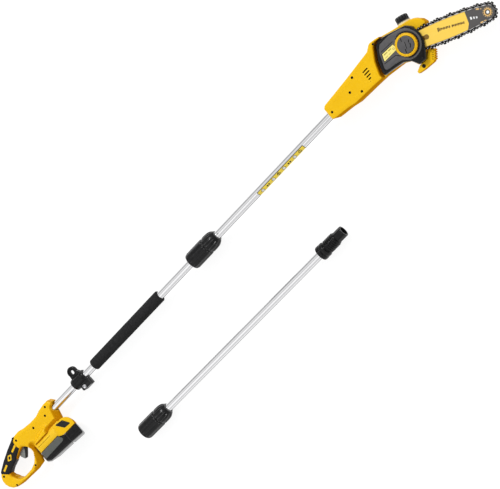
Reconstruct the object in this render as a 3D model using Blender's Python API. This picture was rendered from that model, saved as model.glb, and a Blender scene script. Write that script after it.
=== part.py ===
"""Cordless pole saw with a spare extension section, lying on its side.

Every length below is in millimetres in the saw's own frame: X runs along the pole towards the
cutting head, Y towards the saw's upper edge, Z up from the surface it lies on, with the pole's
axis at Y = Z = 0.  The "saw" empty moves that frame so that the finished object's origin is the
bottom centre of its bounding box.
"""

import math

import bmesh
import bpy
from mathutils import Matrix, Vector
from mathutils.geometry import tessellate_polygon

MM = 0.001
GAP = 0.3
SAW_ORIGIN = (-86.0, 110.0, 38.0)

# Pole
TUBE_R = 12.0
TUBE_WALL = 1.2
LOWER_TUBE = (-735.0, 20.4)
UPPER_TUBE = (112.3, 700.0)
FOAM = (-457.0, -140.0)
FOAM_R = 18.5
CABLE_R = 3.0

# Threaded coupling between two sections: x is where the nut's open end stands
COLLAR_X = 9.0
NUT_LENGTH = 70.0
NUT_R = 27.0
CAP_LENGTH = 45.0
FLANGE_R = 22.8
THREAD_R = 20.8
PLUG_R = 17.0

# Spare extension section, parallel to the pole
EXT_AXIS = (-247.0, -11.0)
EXT_COLLAR_X = -487.0
EXT_PLUG_X = 312.0

# Handle
SIDE_Z = -38.0
HANDLE_HALF = 18.0
PAD = 2.0
WALL = 2.5
TRIGGER_PIVOT = (-836.0, -5.0)
BATTERY_HALF = 36.5
RAIL_HALF = 25.0

# Cutting head
HEAD_TOP = 28.0
PLATE_TOP = 6.0
COVER_TOP = 32.0
STUD = (910.0, -23.5)
BAR_TILT = math.radians(-23.8)
BAR_Z = 13.0
BAR_HALF_THICK = 2.0
BAR_HALF_WIDTH = 26.5
BAR_CROWN = 0.00055
BAR_WIDEST = 110.0
BAR_TAIL = -18.0
NOSE_U = 228.0
SPROCKET_U = -42.0
SPROCKET_R = 16.0
CHAIN_DEPTH = 9.0
CHAIN_HALF_THICK = 3.2
MOTOR_R = 22.0
MOTOR_Z = -6.0
MOTOR_X = (742.0, 788.0)
DIAL_R = 31.5
KNOB_R = 23.6
OIL_CAP_R = 18.0

MATERIALS = {
    "yellow_plastic": ((0.87, 0.52, 0.02, 1), 0.38, 0.0),
    "black_plastic": ((0.02, 0.02, 0.022, 1), 0.35, 0.0),
    "grey_plastic": ((0.12, 0.12, 0.13, 1), 0.5, 0.0),
    "black_rubber": ((0.025, 0.025, 0.027, 1), 0.8, 0.0),
    "black_foam": ((0.03, 0.03, 0.032, 1), 0.95, 0.0),
    "aluminium": ((0.82, 0.83, 0.85, 1), 0.28, 1.0),
    "steel": ((0.55, 0.55, 0.57, 1), 0.3, 1.0),
    "dark_steel": ((0.07, 0.07, 0.075, 1), 0.4, 0.9),
    "brass": ((0.75, 0.55, 0.22, 1), 0.35, 1.0),
    "printed_bar": ((0.85, 0.6, 0.12, 1), 0.35, 0.2),
}


# ---------------------------------------------------------------- building blocks


def arc(centre, radius, start, stop, count):
    """Points along an arc, angles in degrees, both ends included."""
    angles = (math.radians(start + (stop - start) * i / count) for i in range(count + 1))
    return [(centre[0] + radius * math.cos(a), centre[1] + radius * math.sin(a)) for a in angles]


def circle(centre, radius, sides, clockwise=False):
    points = arc(centre, radius, 0, 360, sides)[:-1]
    return points[::-1] if clockwise else points


def box_outline(left, bottom, right, top):
    return [(left, bottom), (right, bottom), (right, top), (left, top)]


def slot(left, right, half, sides):
    """An obround along X, its ends centred at left and right."""
    return arc((right, 0), half, -90, 90, sides) + arc((left, 0), half, 90, 270, sides)


def inset(loop, distance):
    """The closed loop with every edge moved to its left, corners kept mitred."""
    moved = []
    for i, point in enumerate(loop):
        here = Vector(point)
        along = [here - Vector(loop[i - 1]), Vector(loop[(i + 1) % len(loop)]) - here]
        normals = [Vector((-edge.y, edge.x)).normalized() for edge in along]
        mitre = (normals[0] + normals[1]).normalized()
        moved.append(here + mitre * distance / mitre.dot(normals[0]))
    return moved


def bridge(bm, lower, upper):
    for i in range(len(lower)):
        bm.faces.new((lower[i - 1], lower[i], upper[i], upper[i - 1]))


def cap(bm, rings):
    """Fills the flat area inside the first ring and outside the others."""
    flat = [vertex for ring in rings for vertex in ring]
    for corners in tessellate_polygon([[vertex.co for vertex in ring] for ring in rings]):
        bm.faces.new([flat[i] for i in corners])


def swept(bm, outlines, levels):
    """Side walls through (height, inset) levels.  Returns the rings of each level."""
    rings = []
    for height, distance in levels:
        loops = [inset(outline, distance) for outline in outlines]
        rings.append([[bm.verts.new((*p, height)) for p in loop] for loop in loops])
    for lower, upper in zip(rings, rings[1:]):
        for one, other in zip(lower, upper):
            bridge(bm, one, other)
    return rings


def plate(outlines, bottom, top, chamfer=0.0):
    """A prism of the first outline with the clockwise outlines after it as through holes."""
    bm = bmesh.new()
    levels = [(bottom, 0), (top, 0)]
    if chamfer:
        levels[1:] = [(top - math.copysign(chamfer, top - bottom), 0), (top, chamfer)]
    rings = swept(bm, outlines, levels)
    cap(bm, rings[0])
    cap(bm, rings[-1])
    return bm


def tray(outlines, rim, face, wall, chamfer):
    """An open tray: walls rise from its rim to a closed face, with rounded outer edges."""
    up = math.copysign(1, face - rim)
    bm = bmesh.new()
    outside = swept(bm, outlines, [(rim, 0), (face - up * chamfer, 0), (face, chamfer)])
    inside = swept(bm, outlines, [(rim, wall), (face - up * wall, wall)])
    for one, other in zip(outside[0], inside[0]):
        bridge(bm, one, other)
    cap(bm, outside[-1])
    cap(bm, inside[-1])
    return bm


def turned(profile, sides=24):
    """Turns (height, radius) points about Z.  A profile that leaves the axis closes on itself."""
    bm = bmesh.new()
    rings = []
    for height, radius in profile:
        if radius:
            rings.append([bm.verts.new((*p, height)) for p in circle((0, 0), radius, sides)])
        else:
            rings.append([bm.verts.new((0, 0, height))])
    pairs = list(zip(rings, rings[1:]))
    if profile[0][1]:
        pairs.append((rings[-1], rings[0]))
    for lower, upper in pairs:
        if len(lower) == len(upper):
            bridge(bm, lower, upper)
            continue
        tip, ring = (lower[0], upper) if len(lower) == 1 else (upper[0], lower)
        for i in range(sides):
            bm.faces.new((ring[i - 1], ring[i], tip))
    return bm


def rod(start, end, radius, sides=16):
    return turned([(start, 0), (start, radius), (end, radius), (end, 0)], sides)


def ring(start, end, outer, inner, sides=24):
    return turned([(start, outer), (end, outer), (end, inner), (start, inner)], sides)


def ribbed(profile, ribs, depth, stations):
    """Turns a closed profile whose listed points stand out as square ribs round it."""
    sides = ribs * 4
    bm = bmesh.new()
    rings = []
    for i, (height, radius) in enumerate(profile):
        points = []
        for k in range(sides):
            raised = depth if i in stations and k % 4 < 2 else 0.0
            points.append(circle((0, 0), radius + raised, sides)[k])
        rings.append([bm.verts.new((*p, height)) for p in points])
    for lower, upper in zip(rings, rings[1:] + rings[:1]):
        bridge(bm, lower, upper)
    return bm


UPRIGHT = Matrix.Identity(3)
ALONG_X = Matrix(((0, 0, 1), (1, 0, 0), (0, 1, 0)))  # local x, y, z become Y, Z, X


def material(name):
    found = bpy.data.materials.get(name)
    if found:
        return found
    colour, roughness, metallic = MATERIALS[name]
    made = bpy.data.materials.new(name)
    made.use_nodes = True
    shader = made.node_tree.nodes["Principled BSDF"]
    shader.inputs["Base Color"].default_value = colour
    shader.inputs["Roughness"].default_value = roughness
    shader.inputs["Metallic"].default_value = metallic
    made.diffuse_color = colour
    return made


def add(name, bm, finish, at=(0, 0, 0), turn=UPRIGHT, smooth=True):
    """Makes an object of a mesh built about its own origin, placed at a point of the saw."""
    bmesh.ops.recalc_face_normals(bm, faces=bm.faces)
    bmesh.ops.scale(bm, vec=(MM, MM, MM), verts=bm.verts)
    mesh = bpy.data.meshes.new(name)
    bm.to_mesh(mesh)
    bm.free()
    if smooth:
        mesh.shade_smooth()
        mesh.set_sharp_from_angle(angle=math.radians(35))
    mesh.materials.append(material(finish))
    obj = bpy.data.objects.new(name, mesh)
    bpy.context.scene.collection.objects.link(obj)
    obj.parent = bpy.data.objects["saw"]
    obj.matrix_local = Matrix.Translation(Vector(at) * MM) @ turn.to_4x4()
    return obj


def combine(obj, bm, operation="DIFFERENCE", at=(0, 0, 0), turn=UPRIGHT):
    """Cuts a shape out of the object, or joins it on, with a Boolean that stays live."""
    number = len(obj.modifiers) + 1
    tool = add(f"{obj.name}_{operation.lower()}_{number}", bm, "grey_plastic", at, turn, False)
    tool.hide_render = True
    tool.display_type = "WIRE"
    boolean = obj.modifiers.new(f"{operation.title()} {number}", "BOOLEAN")
    boolean.operation = operation
    boolean.solver = "EXACT"
    boolean.object = tool


def pivoted(loop, pivot):
    return [(x - pivot[0], y - pivot[1]) for x, y in loop]


def screw_boss(shell, x, y, face):
    """A post from near the seam to a casing half's face, drilled and, on top, counterbored."""
    side = math.copysign(1, face)
    combine(shell, rod(side * 0.6, face - side, 5, 8), "UNION", (x, y, 0))
    drill = [(-14, 0), (-14, 1.8), (abs(face) - 2, 1.8), (abs(face) - 2, 3.6)]
    drill += [(abs(face) + 5, 3.6), (abs(face) + 5, 0)]
    combine(shell, turned(drill, 12), at=(x, y, 0))


def casing_screw(name, x, y, face):
    screw = [(-13, 0), (-13, 1.5), (face - 1.7, 1.5), (face - 1.7, 3.3), (face - 0.2, 3.3)]
    add(name, turned(screw + [(face - 0.2, 0)], 12), "dark_steel", (x, y, 0))


# ---------------------------------------------------------------- pole and its couplings


def tube(name, start, end, at=(0, 0, 0)):
    add(name, ring(start, end, TUBE_R, TUBE_R - TUBE_WALL), "aluminium", at, ALONG_X)


def male_end(name, x, axis):
    """Flange, thread and plug on a tube's upper end, with a spigot down inside the tube."""
    spigot = TUBE_R - TUBE_WALL - GAP
    recess, bore = PLUG_R - 5, CABLE_R + 0.4
    profile = [(-30, spigot), (10 - GAP, spigot), (10 - GAP, TUBE_R + GAP), (0, TUBE_R + GAP)]
    profile += [(0, FLANGE_R), (25, FLANGE_R)]
    for turn_start in (28, 36, 44, 52, 60):
        profile += [(turn_start, THREAD_R - 2), (turn_start + 2, THREAD_R)]
        profile += [(turn_start + 4, THREAD_R), (turn_start + 6, THREAD_R - 2)]
    profile += [(68, PLUG_R), (97, PLUG_R), (97, recess), (85, recess), (85, bore), (-30, bore)]
    add(name, turned(profile), "black_plastic", (x, *axis), ALONG_X)


def female_end(prefix, x, axis):
    """Socket, cap and captive nut on a tube's lower end.  Heights run from the nut's mouth."""
    flange = NUT_LENGTH + 0.6
    socket = [(flange, PLUG_R + GAP), (flange, 20.9), (flange + 3.4, 20.9), (flange + 3.4, 19.2)]
    socket += [(103, 19.2), (103, 10.4), (117, 10.4), (117, CABLE_R + 0.4)]
    socket += [(100, CABLE_R + 0.4), (100, PLUG_R + GAP)]
    add(f"{prefix}_socket", turned(socket), "black_plastic", (x, *axis), ALONG_X)
    cap_start = NUT_LENGTH + GAP
    dome = [(cap_start, NUT_R - 2), (cap_start + 12, NUT_R - 2), (cap_start + 26, NUT_R - 3)]
    dome += [(cap_start + 36, NUT_R - 6), (cap_start + CAP_LENGTH, 15.5)]
    dome += [(cap_start + CAP_LENGTH, TUBE_R + GAP), (103.6, TUBE_R + GAP), (103.6, 19.6)]
    dome += [(cap_start + 11, 19.6), (cap_start + 11, NUT_R - 3.2), (cap_start, NUT_R - 3.2)]
    add(f"{prefix}_cap", ribbed(dome, 8, 1.6, (0, 1, 2)), "black_plastic", (x, *axis), ALONG_X)
    lip = NUT_LENGTH + 4.4
    nut = [(0, NUT_R - 2), (4, NUT_R - 1.2), (NUT_LENGTH - 2, NUT_R - 1.2)]
    nut += [(NUT_LENGTH, NUT_R - 2), (NUT_LENGTH, 23.4), (lip + 4, 23.4), (lip + 4, 19.6)]
    nut += [(lip, 19.6), (lip, THREAD_R + 0.4), (29, THREAD_R + 0.4), (29, FLANGE_R + GAP)]
    nut += [(0, FLANGE_R + GAP)]
    add(f"{prefix}_nut", ribbed(nut, 8, 1.2, (1, 2)), "black_plastic", (x, *axis), ALONG_X)


def build_lower_pole():
    tube("lower_tube", *LOWER_TUBE)
    foam = ring(*FOAM, FOAM_R, TUBE_R + GAP)
    add("foam_grip", foam, "black_foam", turn=ALONG_X)
    male_end("lower_coupler", COLLAR_X + 2, (0, 0))
    pin = rod(COLLAR_X + 52, COLLAR_X + 97, CABLE_R - 0.4, 12)
    add("lower_contact", pin, "brass", turn=ALONG_X)
    add("lower_cable", rod(-722, COLLAR_X + 51, CABLE_R, 8), "black_rubber", turn=ALONG_X)


def build_clamp():
    """Sliding ring with a strap eyelet above and a pinch screw through its lower lugs."""
    centre = -527.5
    outer, half = 19.5, 25.5
    clamp = add(
        "clamp_ring",
        ring(-half, half, outer, TUBE_R + GAP),
        "black_plastic",
        (centre, 0, 0),
        ALONG_X,
    )
    eyelet = arc((-2, 34), 17, 0, 180, 6) + [(-18, 15), (22, 15)]
    combine(clamp, plate([eyelet, circle((-2, 33), 7.5, 10, True)], -5, 5), "UNION", (centre, 0, 0))
    lugs = box_outline(-8, -34, 26, -14)
    combine(clamp, plate([lugs], -15, 15), "UNION", (centre, 0, 0))
    gap = box_outline(-40, -50, 40, -11)
    combine(clamp, plate([gap], -1, 1), at=(centre, 0, 0))
    bolt_at = (centre + 6, -26)
    combine(clamp, rod(-30, 30, 3.3, 12), at=(*bolt_at, 0))
    bolt = turned([(-17, 0), (-17, 3), (15.3, 3), (15.3, 6.5), (19.5, 6.5), (19.5, 0)], 12)
    add("clamp_screw", bolt, "steel", (*bolt_at, 0))


def build_upper_pole():
    tube("upper_tube", *UPPER_TUBE)
    female_end("collar", COLLAR_X, (0, 0))
    jack = ring(COLLAR_X + 87.5, COLLAR_X + 99.5, 8, CABLE_R, 16)
    add("upper_contact", jack, "brass", turn=ALONG_X)
    add("upper_cable", rod(COLLAR_X + 118, MOTOR_X[0] - 1, CABLE_R, 8), "black_rubber", turn=ALONG_X)


def build_extension():
    at = (0, *EXT_AXIS)
    tube("extension_tube", EXT_COLLAR_X + 103.3, EXT_PLUG_X + 10 - 2 * GAP, at)
    male_end("extension_coupler", EXT_PLUG_X, EXT_AXIS)
    female_end("extension", EXT_COLLAR_X, EXT_AXIS)
    cable = rod(EXT_COLLAR_X + 88, EXT_PLUG_X + 88, CABLE_R, 8)
    add("extension_cable", cable, "black_rubber", at, ALONG_X)


# ---------------------------------------------------------------- handle and battery

HANDLE = [(-662, -42.5), (-654, -16), (-650, 0), (-646, 16), (-656, 29), (-676, 29.5)]
HANDLE += [(-702, 26), (-722, 20), (-752, 19.5), (-785, 23), (-810, 30), (-837, 30)]
HANDLE += [(-880, 15), (-915, 2), (-944, -9), (-958, -17), (-968, -27), (-974, -40)]
HANDLE += [(-974, -56), (-968, -73), (-958, -85), (-943, -92), (-920, -95), (-848, -96)]
HANDLE += [(-813, -93), (-806, -76), (-803, -42.5)]
HAND_OPENING = [(-830, -14), (-819, -25), (-813, -38), (-814, -50), (-823, -64), (-838, -76)]
HAND_OPENING += [(-860, -83), (-893, -84), (-912, -79), (-919, -71), (-926, -55), (-924, -44)]
HAND_OPENING += [(-905, -36), (-871, -27)]
GRIP_PAD = [(-836, 24), (-947, -16), (-954, -26), (-930, -42), (-905, -33), (-871, -24)]
GRIP_PAD += [(-838, -12)]
HANDLE_SCREWS = ((-825, 12), (-934, -86))


def build_handle():
    halves = {
        "handle_shell_left": tray([HANDLE, HAND_OPENING], -GAP / 2, -HANDLE_HALF, WALL, 3),
        "handle_shell_right": tray([HANDLE, HAND_OPENING], GAP / 2, HANDLE_HALF, WALL, 3),
    }
    for name, bm in halves.items():
        side = -1 if name.endswith("left") else 1
        shell = add(name, bm, "yellow_plastic")
        combine(shell, rod(-760, -640, TUBE_R + GAP, 24), turn=ALONG_X)
        finger = [(-822, -6), (-822, -22), (-880, -42), (-880, -20)]
        combine(shell, plate([finger], -6.2, 6.2))
        for x, y in HANDLE_SCREWS:
            screw_boss(shell, x, y, side * HANDLE_HALF)
        if side < 0:
            combine(shell, rod(-30, -10, 6.3, 16), at=(-852, 0, 0))
        pad = plate([GRIP_PAD], side * (HANDLE_HALF + GAP), side * (HANDLE_HALF + PAD), 1)
        add(f"grip_pad_{name.rsplit('_', 1)[1]}", pad, "black_rubber")
    combine(bpy.data.objects["grip_pad_left"], rod(-30, -10, 6.3, 16), at=(-852, 0, 0))
    for number, (x, y) in enumerate(HANDLE_SCREWS, 1):
        casing_screw(f"handle_screw_{number}", x, y, HANDLE_HALF)


def build_trigger():
    lever = [(-836, -11), (-824, -22), (-838, -36), (-850, -46), (-856, -45), (-864, -31)]
    lever += [(-858, -17), (-845, -3), (-836, 1), (-830, -5)]
    hole = circle(TRIGGER_PIVOT, 2.2, 10, True)
    lever, hole = pivoted(lever[::-1], TRIGGER_PIVOT), pivoted(hole, TRIGGER_PIVOT)
    add("trigger", plate([lever, hole], -5.5, 5.5), "grey_plastic", (*TRIGGER_PIVOT, 0))
    add("trigger_pin", rod(-15, 15, 1.9, 10), "steel", (*TRIGGER_PIVOT, 0))
    switch = box_outline(-901, -18, -869, 0)
    turn = Matrix.Rotation(math.radians(20), 3, "Z")
    middle = Vector((-885, -9))
    box = plate([pivoted(switch, middle)], -9, 9)
    add("switch_module", box, "grey_plastic", (*middle, 0), turn, False)
    button = turned([(-21.6, 0), (-21.6, 6), (-12, 6), (-12, 8), (-9, 8), (-9, 0)], 16)
    add("lock_off_button", button, "black_plastic", (-852, 0, 0))
    coil = ring(-4.5, 4.5, 3.2, 2.4, 12)
    toward = Vector((-0.94, 0.34, 0)).to_track_quat("Z", "Y").to_matrix()
    add("trigger_spring", coil, "steel", (-861, -3, 0), toward)


def build_battery():
    """Foot with T-slot rails under the handle, and the pack that slides into it from the front."""
    top, lip = -42.8, RAIL_HALF - 4.5
    outer = RAIL_HALF + 5
    section = [(-73, -outer), (top, -outer), (top, outer), (-73, outer), (-73, lip), (-68, lip)]
    section += [(-68, RAIL_HALF + GAP), (-49, RAIL_HALF + GAP), (-49, -RAIL_HALF - GAP)]
    section += [(-68, -RAIL_HALF - GAP), (-68, -lip), (-73, -lip)]
    foot = plate([section[::-1]], -802.5, -669)
    add("battery_foot", foot, "yellow_plastic", turn=ALONG_X, smooth=False)
    block = plate([box_outline(-66, -20, -50, 20)], -800, -794)
    add("terminal_block", block, "black_plastic", turn=ALONG_X, smooth=False)
    side = [(-806, -104), (-790, -112), (-624, -121), (-618, -118), (-618, -85), (-676, -85)]
    side += [(-700, -73.4), (-798, -73.4), (-806, -82)]
    case = add("battery_case", plate([side], SIDE_Z, BATTERY_HALF, 2), "black_plastic")
    tongue = [(-80, GAP - lip), (-67.7, GAP - lip), (-67.7, -RAIL_HALF), (-51, -RAIL_HALF)]
    tongue = [(y, -z) for y, z in tongue] + [(y, z) for y, z in tongue[::-1]]
    combine(case, plate([tongue], -793, -669.5), "UNION", turn=ALONG_X)
    cavity = [(-798, -104), (-788, -107), (-628, -114), (-625, -112), (-625, -92), (-680, -92)]
    cavity += [(-702, -81), (-796, -81)]
    combine(case, plate([cavity], SIDE_Z + 3, BATTERY_HALF - 3))
    combine(case, plate([box_outline(-785, -85, -705, -45)], -15, 15))
    cells = plate([box_outline(-768, -102, -644, -97)], -30, 28)
    pack = add("battery_cells", cells, "steel")
    for x in (-766, -736, -706, -676, -646):
        cell = rod(-32, 30, 9.2, 12)
        combine(pack, cell, "UNION", (x, -98 if x < -700 else -101.8, 0))
    nose = arc((-652, -75), 32, 0, 90, 5)
    nose = [(-667.5, -84.7), (-622, -84.7)] + nose[1:] + [(-667.5, -42.8)]
    shell = add("battery_nose", plate([nose], -34, 34, 3), "yellow_plastic")
    combine(shell, plate([box_outline(-662, -70, -636, -52)], 26, 40))
    window = plate([box_outline(-661.5, -69.5, -636.5, -52.5)], 28, 35.5, 1)
    add("battery_release", window, "black_plastic", smooth=False)
    panel = [(-778, -98), (-691, -96), (-685, -91), (-696, -76), (-778, -76)]
    add("battery_panel", plate([panel], BATTERY_HALF + GAP, 38.2, 0.6), "grey_plastic")


# ---------------------------------------------------------------- cutting head

HEAD = [(618, -16), (626, -20), (675, -27), (700, -33), (771, -36), (803, -38), (861, -47)]
HEAD += [(882, -60), (890, -80), (912, -84), (934, -68), (957, -50), (966, -30), (984, -12)]
HEAD += [(980, 2), (968, 16), (953, 23), (901, 37), (854, 51), (835, 54), (816, 42)]
HEAD += [(723, 33), (628, 26), (620, 20)]
NECK = HEAD[:5] + [(802, -38), (802, -27), (818.5, 7), (842, 37), (850, 43), (868, 41.5)]
NECK += [(868, 47)] + HEAD[-6:]
DRIVE_PLATE = [(804.5, -38.5)] + HEAD[6:-6]
DRIVE_PLATE += [(869.5, 46.5), (869.5, 40), (851, 41.5), (843.5, 36), (820.5, 6.5), (804.5, -27)]
COVER = [(807, -37), (831, -41), (868, -48.5), (886, -62), (896, -84), (918, -86), (924, -79)]
COVER += [(942, -63), (957, -46), (963, -23), (957, 3), (944, 17), (883, 34), (856, 39)]
COVER += [(846, 34), (822, 5), (806.5, -27)]
HEAD_SCREWS = ((739, 24), (731, -24))
BAR_DIRECTION = Vector((math.cos(BAR_TILT), math.sin(BAR_TILT)))
SPROCKET = Vector(STUD) + BAR_DIRECTION * SPROCKET_U
BAR_TURN = Matrix.Rotation(BAR_TILT, 3, "Z")


def build_head_housing():
    left = add("head_shell_left", tray([HEAD], -GAP / 2, SIDE_Z, WALL, 6), "yellow_plastic")
    right = add("head_shell_right", tray([NECK], GAP / 2, HEAD_TOP, WALL, 6), "yellow_plastic")
    for shell, face in ((left, SIDE_Z), (right, HEAD_TOP)):
        combine(shell, rod(600, 680, TUBE_R + GAP, 24), turn=ALONG_X)
        for x, y in HEAD_SCREWS:
            screw_boss(shell, x, y, face)
    for row in range(5):
        vent = box_outline(767, 9 - 7 * row, 789 - 2 * row, 13 - 7 * row)
        combine(right, plate([vent], HEAD_TOP - 5, HEAD_TOP + 5))
    combine(left, rod(-12, 12, 10, 16), at=oil_cap_seat(), turn=oil_cap_turn())
    for number, (x, y) in enumerate(HEAD_SCREWS, 1):
        casing_screw(f"head_screw_{number}", x, y, HEAD_TOP)


def build_drive():
    """Motor along the neck, bevel pair, and the sprocket shaft that crosses the bar plate."""
    y = SPROCKET.y
    can = add("motor_can", rod(*MOTOR_X, MOTOR_R, 20), "steel", (0, y, MOTOR_Z), ALONG_X)
    combine(can, rod(MOTOR_X[0] + 5, MOTOR_X[1] + 5, 2.9, 12), at=(0, y, MOTOR_Z), turn=ALONG_X)
    shaft = [(MOTOR_X[0] + 5.5, 0), (MOTOR_X[0] + 5.5, 2.5), (844, 2.5), (844, 6)]
    shaft += [(858, 5.2), (858, 0)]
    add("motor_shaft", turned(shaft, 12), "steel", (0, y, MOTOR_Z), ALONG_X)
    centre = (*SPROCKET, 0)
    gear = turned([(-20, 23), (-13, 21), (-12.2, 12), (-9, 10), (-9, 5.2), (-20, 5.2)])
    add("drive_gear", gear, "dark_steel", centre)
    add("output_shaft", rod(-31, 21, 5, 16), "steel", centre)
    add("shaft_bearing", ring(-8.5, -0.4, 11, 5.4), "steel", centre)
    teeth = 7
    rim = []
    for i in range(teeth * 4):
        radius = SPROCKET_R if i % 4 < 2 else SPROCKET_R - 3
        rim.append(circle((0, 0), radius, teeth * 4)[i])
    bore = circle((0, 0), 5.4, 16, True)
    sprocket = plate([rim, bore], BAR_Z - 3.5, BAR_Z + 3.5)
    add("drive_sprocket", sprocket, "dark_steel", centre)


def bar_half_width(u):
    return BAR_HALF_WIDTH - BAR_CROWN * (u - BAR_WIDEST) ** 2


def bar_edge(extra):
    """Upper edge of the bar from the nose back to the tail."""
    stations = [NOSE_U - 12 - 34 * i for i in range(7)]
    return [(u, bar_half_width(u) + extra) for u in stations if u > BAR_TAIL]


def bar_loop(extra, tail):
    nose = arc((NOSE_U, 0), bar_half_width(NOSE_U) + extra, -80, 80, 8)
    upper = bar_edge(extra)
    lower = [(u, -v) for u, v in reversed(upper)]
    return nose + upper + tail + lower


def build_bar():
    at = (*STUD, BAR_Z)
    mount = (*STUD, 0)
    tail = [(BAR_TAIL, bar_half_width(BAR_TAIL)), (BAR_TAIL, -bar_half_width(BAR_TAIL))]
    holes = [slot(-2, 58, 4.6, 5)[::-1], circle((NOSE_U, 0), 11.4, 20, True)]
    bar = plate([bar_loop(0, tail)] + holes, -BAR_HALF_THICK, BAR_HALF_THICK)
    add("guide_bar", bar, "printed_bar", at, BAR_TURN)
    inner = bar_loop(0.5, arc((SPROCKET_U, 0), SPROCKET_R + 0.6, 95, 265, 8))
    outer = inset(inner, -CHAIN_DEPTH)
    chain = plate([outer, inner[::-1]], -CHAIN_HALF_THICK, CHAIN_HALF_THICK)
    add("saw_chain", chain, "dark_steel", at, BAR_TURN)
    nose = ring(-BAR_HALF_THICK, BAR_HALF_THICK, 11, 3.5, 20)
    nose_at = Vector(STUD) + BAR_DIRECTION * NOSE_U
    add("nose_sprocket", nose, "brass", (*nose_at, BAR_Z))
    stud = [(-9, 0), (-9, 8), (-0.3, 8), (-0.3, 4), (30, 4), (30, 0)]
    add("bar_stud", turned(stud, 16), "steel", mount)


def build_cover():
    holes = [circle(STUD, 4.3, 12, True), circle(SPROCKET, 7, 16, True)]
    add("drive_plate", plate([DRIVE_PLATE] + holes, GAP / 2, PLATE_TOP), "yellow_plastic")
    cover = add("side_cover", tray([COVER], PLATE_TOP + GAP, COVER_TOP, WALL, 3), "black_plastic")
    combine(cover, rod(COVER_TOP - 10, COVER_TOP + 10, 12, 16), at=(*STUD, 0))
    mouth = box_outline(18, -37, 90, 37)
    combine(cover, plate([mouth], 0, BAR_Z + 8), at=(*STUD, 0), turn=BAR_TURN)
    base = COVER_TOP + GAP
    dial = [(base, DIAL_R), (base + 4, DIAL_R), (base + 7, DIAL_R - 2)]
    dial += [(base + 7, KNOB_R + GAP), (base, KNOB_R + GAP)]
    add("tension_ring", turned(dial, 32), "yellow_plastic", (*STUD, 0))
    knob = [(30.5, 0), (30.5, 4.3), (20, 4.3), (20, 11.6), (base, 11.6), (base, KNOB_R)]
    knob += [(base + 8, KNOB_R), (base + 10, KNOB_R - 2), (base + 10, 0)]
    add("lock_knob", turned(knob), "grey_plastic", (*STUD, 0))


def oil_cap_seat():
    return (936.0, 27.6, -15.0)


def oil_cap_turn():
    return Vector((14, 52, 0)).to_track_quat("Z", "Y").to_matrix()


def build_oiling():
    outline = [(898, -8), (954, -8), (961, 6), (949, 18.5), (898, 32)]
    tank = add("oil_tank", tray([outline], -2, -34.5, 2, 1), "grey_plastic")
    combine(tank, rod(-20, 12, 9.5, 16), at=oil_cap_seat(), turn=oil_cap_turn())
    stem = [(-10, 0), (-10, 9), (0.4, 9), (0.4, OIL_CAP_R - 1), (16, OIL_CAP_R - 1)]
    stem += [(19, OIL_CAP_R - 4), (19, 0)]
    cap_mesh = turned(stem, 24)
    add("oil_cap", cap_mesh, "black_plastic", oil_cap_seat(), oil_cap_turn())
    pump = add("oil_pump", plate([box_outline(922, -48, 944, -30)], -24, -3), "grey_plastic")
    combine(pump, rod(-14, -1, 2, 8), at=(933, -39, 0))


def build_limb_hook():
    body = [(873, -90), (873, -97), (893, -101), (925, -104)]
    teeth = 5
    start, end = Vector((929, -102)), Vector((949, -80))
    out = Vector((end - start).normalized().yx) * 3
    out.y = -out.y
    for i in range(teeth):
        low = start.lerp(end, i / teeth)
        tip = start.lerp(end, (i + 0.6) / teeth) + out
        body += [tuple(low), tuple(tip)]
    body += [(949, -80), (938, -69), (913, -85.5), (891, -82.5)]
    hook = add("limb_hook", plate([body], -25, 5), "yellow_plastic", smooth=False)
    combine(hook, rod(-20, 20, 2, 10), at=(897, -92, 0))
    combine(hook, rod(2.2, 20, 4.2, 12), at=(897, -92, 0))
    screw = turned([(-19, 0), (-19, 1.7), (2.5, 1.7), (2.5, 3.9), (4.8, 3.9), (4.8, 0)], 12)
    add("hook_screw", screw, "dark_steel", (897, -92, 0))


def clear_scene():
    for obj in list(bpy.data.objects):
        bpy.data.objects.remove(obj, do_unlink=True)


def main():
    clear_scene()
    saw = bpy.data.objects.new("saw", None)
    bpy.context.scene.collection.objects.link(saw)
    saw.location = Vector(SAW_ORIGIN) * MM
    build_lower_pole()
    build_clamp()
    build_upper_pole()
    build_extension()
    build_handle()
    build_trigger()
    build_battery()
    build_head_housing()
    build_drive()
    build_bar()
    build_cover()
    build_oiling()
    build_limb_hook()
    bpy.context.view_layer.update()


main()
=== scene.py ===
"""Looks of the cordless pole saw and its spare section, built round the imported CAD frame.

Lengths are in millimetres of the saw's own frame, as in the CAD: X along the pole towards the
cutting head, Y towards the saw's upper edge, Z up, with the pole's axis at Y = Z = 0.
"""

import math

import bmesh
import bpy
import numpy as np
from mathutils import Matrix, Vector, noise
from mathutils.geometry import delaunay_2d_cdt, tessellate_polygon


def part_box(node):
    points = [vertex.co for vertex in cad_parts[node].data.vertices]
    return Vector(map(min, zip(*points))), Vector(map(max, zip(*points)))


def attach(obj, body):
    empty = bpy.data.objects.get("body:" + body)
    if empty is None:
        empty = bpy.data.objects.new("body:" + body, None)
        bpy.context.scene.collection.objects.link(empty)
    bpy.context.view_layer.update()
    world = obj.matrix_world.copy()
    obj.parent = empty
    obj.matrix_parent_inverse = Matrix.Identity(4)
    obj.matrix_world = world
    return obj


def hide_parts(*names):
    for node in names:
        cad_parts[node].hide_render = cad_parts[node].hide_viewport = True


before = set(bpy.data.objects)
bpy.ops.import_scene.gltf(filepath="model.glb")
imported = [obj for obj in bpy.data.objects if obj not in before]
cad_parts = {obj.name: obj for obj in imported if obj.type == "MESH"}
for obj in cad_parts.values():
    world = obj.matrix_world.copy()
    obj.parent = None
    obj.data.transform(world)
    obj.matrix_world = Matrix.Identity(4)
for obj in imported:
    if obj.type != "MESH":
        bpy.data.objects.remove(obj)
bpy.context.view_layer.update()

MM = 0.001
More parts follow.
